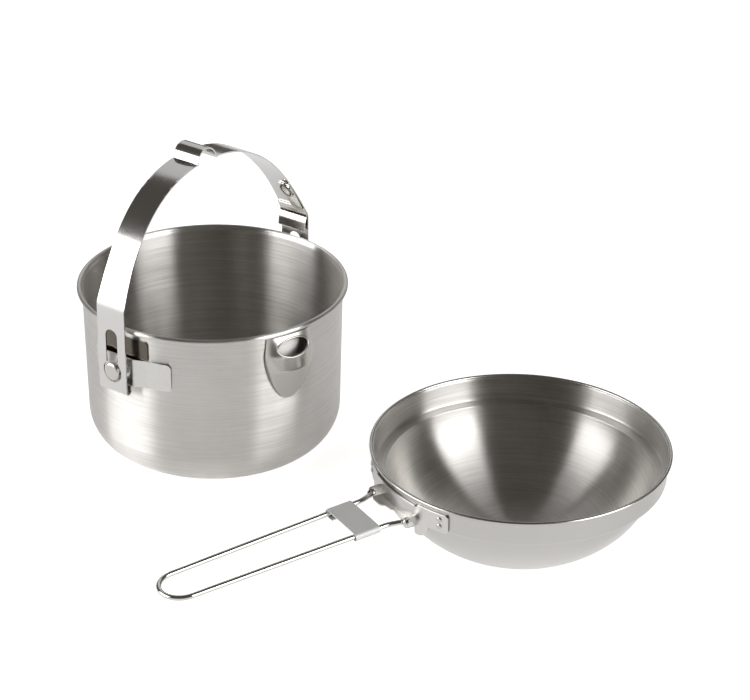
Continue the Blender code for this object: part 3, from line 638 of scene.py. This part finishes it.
def make_pot():
    item = blank(turned_mesh("pot_shell_fine", pot_profile(), FINE), Matrix.Identity(4))
    seat = radial_frame(SPOUT_TURN) @ facing_out(wall_radius(DUCT_HEIGHT), DUCT_HEIGHT)
    duct = peg_mesh(DUCT_HALF_WIDTH, CUT_DEPTH, 48, DUCT_HALF_HEIGHT / DUCT_HALF_WIDTH)
    mesh = baked(item, [(duct, seat, "DIFFERENCE")])
    show("pot_shell_fine", mesh, Matrix.Identity(4), (POT_STEEL,), "pot", ["pot_shell"],
         edged=False)


# Spout ------------------------------------------------------------------------------------------

def spout_half_width(height):
    if height >= SPOUT_WIDEST:
        return SPOUT_HALF_WIDTH - SPOUT_HEAD_TAPER * (height - SPOUT_WIDEST) / (SPOUT_TOP - SPOUT_WIDEST)
    share = (SPOUT_WIDEST - height) / (SPOUT_WIDEST - SPOUT_ROOT + SPOUT_TIP_EXTRA)
    return SPOUT_HALF_WIDTH * math.sqrt(max(1 - share ** SPOUT_TAIL_POWER, 0))


SPOUT_PROFILE = rounded([(SPOUT_ROOT, SPOUT_TIP_DEPTH), (SPOUT_CREASE, SPOUT_DEPTH),
                         (SPOUT_LIP_HEIGHT, SPOUT_LIP_DEPTH), (SPOUT_TOP, SPOUT_TOP_DEPTH)],
                        SPOUT_CREASE_BEND, 8)


def spout_depth(height):
    for (low, start), (high, end) in zip(SPOUT_PROFILE, SPOUT_PROFILE[1:]):
        if height <= high:
            return start + (end - start) * (height - low) / max(high - low, 1e-6)
    return SPOUT_TOP_DEPTH


def spout_reach(height, across):
    bulge = spout_depth(height) * max(1 - across * across, 0) ** SPOUT_FULLNESS
    return wall_radius(height) + GAP + SHEET / 2 + bulge


def spout_rows(columns=64):
    even = [SPOUT_ROOT + (SPOUT_TOP - SPOUT_ROOT) * i / SPOUT_ROWS for i in range(SPOUT_ROWS + 1)]
    heights = sorted(set(even + [height for height, depth in SPOUT_PROFILE[1:-1]]))
    rows = []
    for height in heights:
        row = []
        for j in range(columns + 1):
            across = math.sin(math.pi * (j / columns - 0.5))
            radius = spout_reach(height, across)
            turn = spout_half_width(height) * across / wall_radius(height)
            row.append((radius * math.cos(turn), radius * math.sin(turn), height))
        rows.append(row)
    return rows


def mouth_lip(grow, out, count=96):
    """A closed path that follows the spout's skin round the mouth."""
    path = []
    for i in range(count):
        angle = 2 * math.pi * i / count
        side = (MOUTH_HALF_WIDTH + grow) * math.cos(angle)
        height = MOUTH_HEIGHT + (MOUTH_HALF_HEIGHT + grow) * math.sin(angle)
        reach = spout_reach(height, side / spout_half_width(height)) + out
        turn = math.asin(side / reach)
        path.append(Vector((reach * math.cos(turn), side, height)))
    return path


def ring_tube(path, radius, steps=12):
    """A closed tube round a path that faces +X."""
    builder = bmesh.new()
    rings = []
    for index, point in enumerate(path):
        along = (path[(index + 1) % len(path)] - path[index - 1]).normalized()
        rings.append(tube_ring(builder, point, along, Vector((1, 0, 0)), radius, steps))
    join_rings(builder, rings, rings[1:] + rings[:1])
    bmesh.ops.recalc_face_normals(builder, faces=builder.faces)
    mesh = bpy.data.meshes.new("lip")
    builder.to_mesh(mesh)
    builder.free()
    return mesh


def make_spout():
    turn = radial_frame(SPOUT_TURN)
    item = sheet_mesh("spout_fine", spout_rows(), SHEET)
    item.matrix_world = turn
    mouth = peg_mesh(MOUTH_HALF_WIDTH, MOUTH_CUT, 96, MOUTH_HALF_HEIGHT / MOUTH_HALF_WIDTH)
    seat = turn @ facing_out(wall_radius(MOUTH_HEIGHT) + MOUTH_CUT_OUT, MOUTH_HEIGHT)
    lip = ring_tube(mouth_lip(MOUTH_LIP_OUT, MOUTH_LIP_OUT), MOUTH_LIP)
    mesh = baked(item, [(mouth, seat, "DIFFERENCE"), (lip, turn, "UNION")])
    show("spout_fine", mesh, turn, (SPOUT_STEEL,), "pot", ["spout"])


# Bail -------------------------------------------------------------------------------------------

def crown_curve(share):
    start = Vector((BAIL_REACH, BAIL_BEND))
    first = start + BAIL_SHOULDER * Vector((-math.sin(BAIL_LEAN), math.cos(BAIL_LEAN)))
    second = Vector((BAIL_CROWN, BAIL_TOP))
    end = Vector((0, BAIL_TOP))
    rest = 1 - share
    point = (start * rest ** 3 + first * 3 * rest ** 2 * share
             + second * 3 * rest * share ** 2 + end * share ** 3)
    along = ((first - start) * rest ** 2 + (second - first) * 2 * rest * share
             + (end - second) * share ** 2).normalized()
    return point, Vector((-along.y, along.x))


def leg_path():
    centre = (BAIL_REACH - FOLD_RADIUS, FOLD_HEIGHT)
    foot = arc(centre, FOLD_RADIUS, 180, 360, 24)
    lip = (BAIL_REACH - 2 * FOLD_RADIUS, FOLD_HEIGHT + FOLD_LIP)
    leg = [(BAIL_REACH, FOLD_HEIGHT + (BAIL_BEND - FOLD_HEIGHT) * i / 8) for i in range(1, 8)]
    leg += [(BAIL_REACH, BAIL_BEND - BEND_EASE)]
    return [lip] + foot + leg


def crown_path():
    span = 1 - ARCH_START_PARAMETER
    half = [crown_curve(ARCH_START_PARAMETER + span * i / 72)[0] for i in range(73)]
    reach = HUMP_RADIUS + HUMP_CLEAR
    left = [tuple(point) for point in half if point.x > HUMP_CENTRE + reach]
    right = [(-point.x, point.y) for point in reversed(half) if point.x > reach - HUMP_CENTRE]
    hump = arc((HUMP_CENTRE, BAIL_TOP - HUMP_DROP), HUMP_RADIUS, 4, 176, 40)
    foot = HUMP_RADIUS + HUMP_FOOT
    low = BAIL_TOP - HUMP_FOOT_DROP
    foot_left = rounded([left[-1], (HUMP_CENTRE + foot, low), hump[0]], HUMP_FOOT_BEND, 5)
    foot_right = rounded([hump[-1], (HUMP_CENTRE - foot, low), right[0]], HUMP_FOOT_BEND, 5)
    return left[:-1] + foot_left + hump[1:-1] + foot_right + right[1:]


def bail_path():
    right = [(-reach, height) for reach, height in reversed(leg_path())]
    return leg_path() + crown_path() + right


def strip_rows(path, leg_width, arch_width, columns):
    rows = []
    for reach, height in path:
        rise = max(height - BAIL_BEND, 0)
        half = (leg_width + (arch_width - leg_width) * min(rise / BAIL_TAPER, 1)) / 2
        middle = -rise * BAIL_SWEEP
        rows.append([(reach, middle - half + 2 * half * k / columns, height) for k in range(columns + 1)])
    return rows


def keyhole_outline():
    half = SLOT_WIDTH / 2
    angle = math.degrees(math.asin(half / KEYHOLE_RADIUS))
    hole = arc((0, 0), KEYHOLE_RADIUS, 90 + angle, 450 - angle, 56)
    top = arc((0, SLOT_LENGTH), half, 0, 180, 32)
    return hole + top


def dimple(along, across):
    """How deep the lens-shaped press mark beside the hump is, across from -1 to 1."""
    share = (along - HUMP_CENTRE - HUMP_RADIUS - DIMPLE_START) / DIMPLE_LENGTH
    if not 0 < share < 1 or abs(across) > DIMPLE_SPAN:
        return 0
    return DIMPLE_DEPTH * math.sin(math.pi * share) ** 2 * math.cos(across / DIMPLE_SPAN * math.pi / 2)


def make_bail():
    world = bail_frame(1) @ Matrix.Translation((0, 0, PIVOT_HEIGHT))
    rows = []
    for row in strip_rows(bail_path(), BAIL_WIDTH, BAIL_ARCH_WIDTH, STRAP_COLUMNS):
        rows.append([(x, y, z - PIVOT_HEIGHT - dimple(x, 2 * k / STRAP_COLUMNS - 1))
                     for k, (x, y, z) in enumerate(row)])
    item = sheet_mesh("bail_strap_fine", rows, STRIP)
    item.matrix_world = world
    cuts = []
    for side in (0, math.pi):
        about = Matrix.Rotation(side, 4, "Z")
        hole = bail_frame(1) @ about @ facing_out(BAIL_REACH, PIVOT_HEIGHT)
        cuts.append((plate_mesh(keyhole_outline(), 3 * STRIP), hole, "DIFFERENCE"))
    cuts.append((peg_mesh(CATCH_SHANK + GAP, CUT_DEPTH), catch_seat(), "DIFFERENCE"))
    mesh = baked(item, cuts, STRAP_BEVEL)
    show("bail_strap_fine", mesh, world, (POLISHED,), "bail", ["bail_strap"])


# Catch ------------------------------------------------------------------------------------------

def catch_span(start, end, count):
    path = []
    for i in range(count + 1):
        point, inward = crown_curve(start + (end - start) * i / count)
        path.append(tuple(point + inward * (STRIP / 2 + GAP + CATCH_SHEET / 2)))
    return path


def catch_seat():
    point, inward = crown_curve(BUTTON_PARAMETER)
    tilt = math.atan2(inward.y, -inward.x)
    back = (point.y - BAIL_BEND) * BAIL_SWEEP + BUTTON_SIDE
    seat = bail_frame(-1) @ Matrix.Translation((point.x, back, point.y))
    return seat @ Matrix.Rotation(math.radians(-90) + tilt, 4, "Y")


def catch_rows():
    rows = []
    neck = CATCH_NECK_PARAMETER + CATCH_FLARE_PARAMETER
    for reach, height in catch_span(CATCH_TOP_PARAMETER, neck, 24):
        middle = -(height - BAIL_BEND) * BAIL_SWEEP - BUTTON_SIDE
        rows.append([(-reach, middle - CATCH_TONGUE / 2, height), (-reach, middle, height),
                     (-reach, middle + CATCH_TONGUE / 2, height)])
    ramp = [(CATCH_REACH + out, BAIL_BEND - down) for out, down in CATCH_RAMP]
    curl = arc((CATCH_REACH + CATCH_ROLL, CATCH_LOW), CATCH_ROLL, CATCH_CURL_START, 360, 20)
    span = catch_span(CATCH_NECK_PARAMETER, CATCH_START_PARAMETER, 4)
    broad = rounded(span + ramp + [curl[0]], CATCH_BEND)
    rows += strip_rows([(-reach, height) for reach, height in broad], CATCH_WIDTH, BAIL_ARCH_WIDTH, 2)
    for reach, height in curl[1:] + [(CATCH_REACH + 2 * CATCH_ROLL, CATCH_LOW + CATCH_TAIL)]:
        rows.append([(-reach, side, height) for side in (-CATCH_WIDTH / 2, -CATCH_MIDDLE, CATCH_SHORT)])
    return rows


def make_catch():
    world = bail_frame(1)
    item = sheet_mesh("catch_spring_fine", catch_rows(), CATCH_SHEET)
    item.matrix_world = world
    hole = (peg_mesh(CATCH_SHANK + GAP, CUT_DEPTH), catch_seat(), "DIFFERENCE")
    mesh = baked(item, [hole], PRESSED_BEVEL)
    show("catch_spring_fine", mesh, world, (CATCH_POLISH,), "bail", ["catch_spring"])


def catch_rivet_profile(inner):
    """A round tail outside the strap and an oval button with a groove inside it."""
    outer = -STRIP / 2 - GAP
    half = BUTTON_HALF_WIDTH
    top = inner + BUTTON_THICKNESS
    groove_out, groove_in = (half - place for place in BUTTON_GROOVE)
    groove_floor = top - BUTTON_GROOVE_DEPTH
    dome = [(half, inner), (half, top - BUTTON_EDGE), (half - BUTTON_EDGE, top), (half - BUTTON_RIM, top),
            (groove_out, groove_floor), (groove_in, groove_floor), (half - BUTTON_CENTRE, top), (0, top)]
    tail = rounded([(0, outer - CATCH_TAIL_HEIGHT), (CATCH_TAIL_CROWN, outer - 0.9 * CATCH_TAIL_HEIGHT),
                    (CATCH_TAIL_HEAD, outer - 0.4 * CATCH_TAIL_HEIGHT), (CATCH_TAIL_HEAD, outer),
                    (CATCH_SHANK, outer)], 0.4 * CATCH_TAIL_HEIGHT)
    oval = BUTTON_HALF_LENGTH / BUTTON_HALF_WIDTH
    return tail + [(CATCH_SHANK, inner)] + [(radius, height, oval) for radius, height in dome]


def make_catch_rivet():
    inner = STRIP / 2 + GAP + CATCH_SHEET + GAP
    mesh = turned_mesh("catch_rivet_fine", catch_rivet_profile(inner), 72)
    # Faces in the button's groove take the near-black steel: a painted shade ring round the button
    for face in mesh.polygons:
        away = math.hypot(face.center.x * BUTTON_HALF_WIDTH / BUTTON_HALF_LENGTH, face.center.y)
        in_groove_shade = BUTTON_HALF_WIDTH - BUTTON_CENTRE < away < BUTTON_HALF_WIDTH - BUTTON_RIM
        face.material_index = int(in_groove_shade and face.center.z > inner)
    show("catch_rivet_fine", mesh, catch_seat(), (CATCH_POLISH, GROOVE_PAINTED_SHADE), "bail", ["catch_rivet"])


# Bail brackets ----------------------------------------------------------------------------------

def bracket_outline_height(distance):
    if distance >= BRACKET_CORNER:
        return BRACKET_HEIGHT / 2
    short = BRACKET_CORNER - distance
    return BRACKET_HEIGHT / 2 - BRACKET_CORNER + math.sqrt(max(BRACKET_CORNER ** 2 - short ** 2, 0))


def bracket_half(end, side):
    shift = -end * BAIL_OFFSET
    radius = wall_radius(PIVOT_HEIGHT)
    middle = shift / radius
    tip = middle + side * BRACKET_WINGS[side > 0]
    foot = math.asin((shift + side * BRACKET_FOOT) / radius)
    length = abs(foot - tip) * radius
    distances = [BRACKET_CORNER * (1 - math.cos(math.radians(90 * i / 10))) for i in range(11)]
    distances = [distance for distance in distances if distance < length]
    distances += [distances[-1] + (length - distances[-1]) * i / 6 for i in range(1, 7)]
    wall = []
    for distance in distances:
        turn = tip - side * distance / radius
        wall.append((turn, bracket_outline_height(distance + 0.00005)))
    rows = []
    for turn, reach in wall:
        row = []
        for level in BRACKET_LEVELS:
            height = PIVOT_HEIGHT + level * reach
            out = wall_radius(height) + GAP + STRIP / 2
            row.append((out * math.cos(turn), out * math.sin(turn) - shift, height))
        rows.append(row)
    corner = [(BRACKET_REACH, side * BRACKET_PLATE, PIVOT_HEIGHT + level * BRACKET_HEIGHT / 2)
              for level in BRACKET_LEVELS]
    inner = [(BRACKET_REACH, side * BRACKET_PLATE * 0.5, point[2]) for point in corner]
    return soften(rows, corner, inner)


def bend_rows(before_row, at_row, after_row, back_reach, steps=6):
    """Rows of a short curve that takes the place of a bend at at_row."""
    made = []
    for index in range(steps + 1):
        share = index / steps
        row = []
        for before, at, after in zip(before_row, at_row, after_row):
            before, at, after = Vector(before), Vector(at), Vector(after)
            start = at + (before - at).normalized() * min(back_reach, (before - at).length * 0.6)
            end = at + (after - at).normalized() * BRACKET_BEND
            row.append(tuple(start.lerp(at, share).lerp(at.lerp(end, share), share)))
        made.append(row)
    return made


def soften(rows, corner, inner):
    """Turn the two bends of a bracket's half into short curves."""
    foot = bend_rows(rows[-2], rows[-1], corner, BRACKET_FOOT_BEND)
    shoulder = bend_rows(rows[-1], corner, inner, BRACKET_BEND)
    return rows[:-1] + foot + shoulder + [inner]


def make_bracket(name, end):
    world = bail_frame(end)
    rows = bracket_half(end, -1) + list(reversed(bracket_half(end, 1)))
    item = sheet_mesh(name, rows, STRIP)
    item.matrix_world = world
    hole = world @ facing_out(BRACKET_REACH, PIVOT_HEIGHT)
    mesh = baked(item, [(peg_mesh(RIVET_SHANK + GAP, CUT_DEPTH / 2), hole, "DIFFERENCE")], BRACKET_BEVEL)
    show(name + "_fine", mesh, world, (PRESSED,), "pot", [name])


def backing_span(away):
    low = BACKING_LOW if away < BACKING_HALF_WIDTH else BACKING_STEP
    short = max(away - (BACKING_HALF_HEAD - BACKING_CORNER), 0)
    return low, BACKING_TOP - BACKING_CORNER + math.sqrt(max(BACKING_CORNER ** 2 - short ** 2, 0))


def make_backing(name, end):
    shift = -end * BAIL_OFFSET
    half = BACKING_HALF_HEAD
    step = BACKING_HALF_WIDTH
    corner = [half - BACKING_CORNER * (1 - math.cos(math.radians(90 * i / 8))) for i in range(9)]
    stations = corner + [step + 0.002, step + BACKING_SPLIT, step - BACKING_SPLIT, 0.012, 0.008, 0.004, 0]
    places = stations + [-station for station in reversed(stations[:-1])]
    rows = []
    for station in places:
        low, high = backing_span(abs(station))
        levels = (low, BACKING_STEP, (BACKING_STEP + high) / 2, high)
        if low == BACKING_STEP:
            levels = [low + (high - low) * i / 3 for i in range(4)]
        row = []
        for height in levels:
            out = wall_radius(height) + GAP + BACKING_SHEET / 2
            turn = (shift + station) / out
            row.append((out * math.cos(turn), out * math.sin(turn) - shift, height))
        rows.append(row)
    item = sheet_mesh(name, rows, BACKING_SHEET)
    mesh = baked(item, [], FINE_BEVEL)
    # the backing wears the near-black steel: painted shade behind the bracket
    show(name + "_fine", mesh, bail_frame(end), (BACKING_PAINTED_SHADE,), "pot", [name])


def make_pivot(side, end):
    world = bail_frame(end) @ facing_out(0, PIVOT_HEIGHT)
    plate_in = BRACKET_REACH - STRIP / 2 - GAP
    plate_out = BRACKET_REACH + STRIP / 2 + GAP
    head = BAIL_REACH + STRIP / 2 + GAP
    tail = plate_in - WASHER_THICKNESS - GAP
    top = rounded([(0, head + RIVET_CROWN), (RIVET_HEAD - 0.0012, head + RIVET_CROWN - 0.00015),
                   (RIVET_HEAD, head + RIVET_EDGE), (RIVET_HEAD, head), (RIVET_SHOULDER, head)],
                  RIVET_EDGE, 6)
    low = rounded([(RIVET_SHANK, tail), (RIVET_TAIL, tail), (RIVET_TAIL - 0.0006, tail - RIVET_TAIL_HEIGHT),
                   (0, tail - RIVET_TAIL_HEIGHT)], RIVET_TAIL_HEIGHT / 2, 4)
    profile = top + [(RIVET_SHOULDER, plate_out), (RIVET_SHANK, plate_out)] + low
    name = side + "_pivot_rivet"
    mesh = turned_mesh(name + "_fine", profile, 64)
    show(name + "_fine", mesh, world, (TUMBLED,), "pivots", [name])
    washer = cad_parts[side + "_pivot_washer"].data.materials
    washer.clear()
    washer.append(TUMBLED)


# Pan --------------------------------------------------------------------------------------------

def bowl_arc(shrink, count=48):
    width = PAN_BOWL_RADIUS - PAN_BASE_RADIUS
    points = []
    for index in range(count + 1):
        angle = math.radians(90) * index / count
        across = math.cos(angle) ** (2 / PAN_BOWL_POWER)
        down = math.sin(angle) ** (2 / PAN_BOWL_POWER)
        points.append((PAN_BASE_RADIUS + (width - shrink) * across,
                       PAN_LEDGE - (PAN_LEDGE - shrink) * down))
    return points


def pan_profile():
    bead = PAN_BEAD / 2
    inner = list(reversed(bowl_arc(SHEET)))
    roll = arc((PAN_RIM_RADIUS - bead, PAN_HEIGHT - bead), bead, 172, -150, 36)
    floor = [(PAN_BASE_RADIUS * share, SHEET) for share in (0, 0.3, 0.6, 0.85)]
    step = rounded([inner[-1], (PAN_BOWL_RADIUS - SHEET + 0.0002, PAN_LEDGE + SHEET),
                    (PAN_BAND_LOW - SHEET - 0.0004, PAN_LEDGE + SHEET),
                    (PAN_BAND_LOW - SHEET, PAN_LEDGE + SHEET + 0.0012),
                    (PAN_BAND_TOP - SHEET, PAN_HEIGHT - PAN_BEAD),
                    (PAN_BAND_TOP - SHEET + 0.0003, PAN_HEIGHT - bead), roll[0]], 0.0011, 6)
    out = rounded([(PAN_BAND_TOP, PAN_HEIGHT - PAN_BEAD - 0.0003), (PAN_BAND_LOW, PAN_LEDGE + 0.0018),
                   (PAN_BAND_LOW - 0.0012, PAN_LEDGE), (PAN_BOWL_RADIUS, PAN_LEDGE)], 0.0012, 6)
    base = [(PAN_BASE_RADIUS * share, 0) for share in (0.85, 0.6, 0.3, 0)]
    inside = floor + inner[:-1] + step[:-1]
    return inside + roll + out + bowl_arc(0)[1:] + base, len(inside) - 1


def band_radius(height):
    share = (height - PAN_LEDGE) / (PAN_HEIGHT - PAN_BEAD - PAN_LEDGE)
    return PAN_BAND_LOW + (PAN_BAND_TOP - PAN_BAND_LOW) * max(share, 0)


def pan_rivet_matrices():
    seats = []
    for side in (-1, 1):
        for height in PAN_RIVET_HEIGHTS:
            seats.append(radial_frame(HANDLE_TURN + side * PAN_RIVET_TURN, PAN_CENTRE)
                         @ facing_out(band_radius(height), height))
    return seats


def make_pan():
    profile, inner = pan_profile()
    mesh = turned_mesh("pan_shell_fine", profile, FINE, inner)
    show("pan_shell_fine", mesh, Matrix.Translation(PAN_CENTRE), (PAN_IN, PAN_OUT), "pan", ["pan_shell"],
         edged=False)


def make_pan_rivets():
    outer = GAP + STRIP + GAP
    inner = -SHEET - GAP
    head = PAN_RIVET_HEAD
    profile = rounded([(0, outer + 0.0006), (head - 0.0005, outer + 0.0005), (head, outer + 0.0001),
                       (head, outer), (PAN_RIVET_SHANK, outer), (PAN_RIVET_SHANK, inner),
                       (head - 0.0002, inner), (head - 0.0006, inner - 0.0005), (0, inner - 0.0005)],
                      0.0003, 4)
    for number, seat in enumerate(pan_rivet_matrices(), start=1):
        name = f"pan_rivet_{number}"
        mesh = turned_mesh(name + "_fine", profile, 32)
        show(name + "_fine", mesh, seat, (TUMBLED,), "pan", [name])


# Pan bracket ------------------------------------------------------------------------------------

def strip_span(turn):
    turn = abs(turn)
    if turn < EAR_TURN:
        return SHELF_HEIGHT - STRIP / 2, MIDDLE_TOP
    away = abs(turn - LOBE_PLACE) * PAN_BAND_TOP
    drop = math.sqrt(max(LOBE_RADIUS ** 2 - away ** 2, 0))
    bottom = min(WING_BOTTOM, LOBE_HEIGHT - drop)
    top = WING_TOP
    if turn < LOBE_PLACE:
        top = min(top, LOBE_HEIGHT + drop + LOBE_TOP_EXTRA)
    end = (WING_HALF_ARC - turn) * PAN_BAND_TOP
    if end < WING_CORNER:
        trim = WING_CORNER - math.sqrt(max(WING_CORNER ** 2 - (WING_CORNER - end) ** 2, 0))
        return bottom + trim, top - trim
    return bottom, top


def pan_strip_rows():
    tip = WING_HALF_ARC - WING_SIDE_GAP
    corner = [tip - WING_CORNER / PAN_BAND_TOP * (1 - math.cos(math.radians(90 * i / 8))) for i in range(9)]
    wing = corner + [corner[-1] + (EAR_TURN - corner[-1]) * i / 40 for i in range(1, 41)]
    middle = [EAR_TURN * 0.97 * (1 - i / 10) for i in range(11)]
    half = wing + middle
    turns = half + [-turn for turn in reversed(half[:-1])]
    rows = []
    for turn in turns:
        bottom, top = strip_span(turn)
        row = []
        for j in range(7):
            height = bottom + (top - bottom) * j / 6
            radius = band_radius(height) + GAP + STRIP / 2
            row.append((radius * math.cos(turn), radius * math.sin(turn), height))
        rows.append(row)
    return rows


def ear_outline():
    nose = arc((HINGE_OUT, HINGE_HEIGHT), EAR_RADIUS, -90, 90, 32)
    return [(EAR_ROOT, HINGE_HEIGHT - EAR_RADIUS)] + nose + [(EAR_ROOT, HINGE_HEIGHT + EAR_RADIUS)]


def shelf_outline():
    inner = []
    for i in range(13):
        side = SHELF_HALF_WIDTH * (1 - i / 6)
        inner.append((math.sqrt(SHELF_INNER ** 2 - side ** 2) + SHELF_TUCK, side))
    edge = rounded([(out, side) for side, out in SHELF_EDGE], SHELF_BEND, 5)
    return edge + inner


def make_pan_bracket():
    world = radial_frame(HANDLE_TURN, PAN_CENTRE)
    item = sheet_mesh("pan_handle_bracket_fine", pan_strip_rows(), STRIP)
    item.matrix_world = world
    upright = Matrix.Rotation(math.radians(90), 4, "X")
    shelf = world @ Matrix.Translation((0, 0, SHELF_HEIGHT))
    steps = [(plate_mesh(shelf_outline(), STRIP), shelf, "UNION")]
    for side in (-1, 1):
        ear = world @ Matrix.Translation((0, side * EAR_PLACE, 0)) @ upright
        steps.append((plate_mesh(ear_outline(), STRIP), ear, "UNION"))
        eye = world @ Matrix.Translation((HINGE_OUT, side * EAR_PLACE, HINGE_HEIGHT)) @ upright
        steps.append((peg_mesh(WIRE_RADIUS + GAP, 3 * STRIP), eye, "DIFFERENCE"))
    for seat in pan_rivet_matrices():
        steps.append((peg_mesh(PAN_RIVET_SHANK + GAP, CUT_DEPTH, 24), seat, "DIFFERENCE"))
    mesh = baked(item, steps, PRESSED_BEVEL)
    show("pan_handle_bracket_fine", mesh, world, (PRESSED,), "pan", ["pan_handle_bracket"])


# Pan handle -------------------------------------------------------------------------------------

def wire_half():
    bend = WIRE_HOOK_BEND
    hook = arc((bend, WIRE_EAR_GAUGE + bend), bend, 180, 270, 12)
    flare = rounded([hook[-1], (WIRE_FLARE_NEAR, WIRE_EAR_GAUGE), (WIRE_FLARE_FAR, WIRE_HALF_GAUGE),
                     (WIRE_END - WIRE_LOOP_RADIUS, WIRE_LOOP_RADIUS)], WIRE_FLARE_BEND, 8)
    loop = arc((WIRE_END - WIRE_LOOP_RADIUS, 0), WIRE_LOOP_RADIUS, 90, 3, 28)
    return [(0, WIRE_TIP)] + hook[:-1] + flare[:-1] + loop


def make_wire():
    half = wire_half()
    path = half + [(WIRE_END, 0)] + [(along, -side) for along, side in reversed(half)]
    points = [(along, side, 0) for along, side in path]
    mesh = tube_mesh("handle_wire_fine", points, WIRE_RADIUS * WIRE_SLIM, 32)
    show("handle_wire_fine", mesh, hinge_frame(), (WIRE_POLISH,), "handle", ["handle_wire"])


def slider_path():
    around = WIRE_RADIUS + GAP + SLIDER_SHEET / 2
    left = arc((-WIRE_HALF_GAUGE, 0), around, 270, 90, 24)
    right = arc((WIRE_HALF_GAUGE, 0), around, 90, -90, 24)
    return [(-SLIDER_LIP, -around)] + left + right + [(SLIDER_LIP, -around)]


def make_slider():
    rows = []
    for side, up in slider_path():
        rows.append([(SLIDER_NEAR + SLIDER_LENGTH * k / 2, side, up) for k in range(3)])
    item = sheet_mesh("lock_slider_fine", rows, SLIDER_SHEET)
    mesh = baked(item, [], FINE_BEVEL)
    show("lock_slider_fine", mesh, hinge_frame(), (MATT,), "slider", ["lock_slider"])


# Stage ------------------------------------------------------------------------------------------

def make_stage():
    """A white floor that glows less in reflections than where the camera sees it."""
    material = bpy.data.materials.new("stage_paper")
    material.use_nodes = True
    shader = material.node_tree.nodes["Principled BSDF"]
    shader.inputs["Base Color"].default_value = FLOOR_COLOUR
    shader.inputs["Roughness"].default_value = 0.9
    shader.inputs["Specular IOR Level"].default_value = 0.0
    shader.inputs["Emission Color"].default_value = (1, 1, 1, 1)
    tree = material.node_tree
    sight = tree.nodes.new("ShaderNodeLightPath")
    glow = tree.nodes.new("ShaderNodeMapRange")
    glow.inputs["To Min"].default_value = FLOOR_GLOW_REFLECTED
    glow.inputs["To Max"].default_value = FLOOR_GLOW_SEEN
    tree.links.new(sight.outputs["Is Camera Ray"], glow.inputs["Value"])
    tree.links.new(glow.outputs[0], shader.inputs["Emission Strength"])
    mesh = bpy.data.meshes.new("floor")
    corners = [(x * FLOOR_HALF, y * FLOOR_HALF, 0) for x, y in ((-1, -1), (1, -1), (1, 1), (-1, 1))]
    mesh.from_pydata(corners, [], [(0, 1, 2, 3)])
    mesh.materials.append(material)
    floor = bpy.data.objects.new("floor", mesh)
    floor.location = FLOOR_PLACE
    bpy.context.scene.collection.objects.link(floor)


def softbox(name, turn, distance, height, width, tall, power):
    """An upright panel of light that faces the object."""
    data = bpy.data.lights.new(name, "AREA")
    data.shape = "RECTANGLE"
    data.size = width
    data.size_y = tall
    data.energy = power
    item = bpy.data.objects.new(name, data)
    spot = LIGHT_CENTRE + heading(math.radians(turn)) * distance
    spot.z = height
    item.location = spot
    item.rotation_euler = (LIGHT_CENTRE - spot).to_track_quat("-Z", "Y").to_euler()
    bpy.context.scene.collection.objects.link(item)


def make_lights():
    for settings in SOFTBOXES:
        softbox(*settings)
    world = bpy.data.worlds.new("studio")
    world.use_nodes = True
    background = world.node_tree.nodes["Background"]
    background.inputs["Color"].default_value = ROOM_COLOUR
    background.inputs["Strength"].default_value = 1.0
    bpy.context.scene.world = world


def make_camera():
    data = bpy.data.cameras.new("camera")
    data.sensor_width = 36
    data.lens = CAMERA_LENS
    camera = bpy.data.objects.new("camera", data)
    camera.matrix_world = (Matrix.Translation(CAMERA_PLACE)
                           @ Matrix.Rotation(math.radians(90) - CAMERA_DOWN, 4, "X")
                           @ Matrix.Rotation(CAMERA_ROLL, 4, "Z"))
    bpy.context.scene.collection.objects.link(camera)
    bpy.context.scene.camera = camera


make_pot()
make_spout()
make_bail()
make_catch()
make_catch_rivet()
for bracket_end, bracket_side in ((1, "left"), (-1, "right")):
    make_bracket(bracket_side + "_bail_bracket", bracket_end)
    make_backing(bracket_side + "_bail_backing", bracket_end)
    make_pivot(bracket_side, bracket_end)
make_pan()
make_pan_rivets()
make_pan_bracket()
make_wire()
make_slider()
make_stage()
make_lights()
make_camera()
bpy.context.scene.view_settings.view_transform = "Standard"
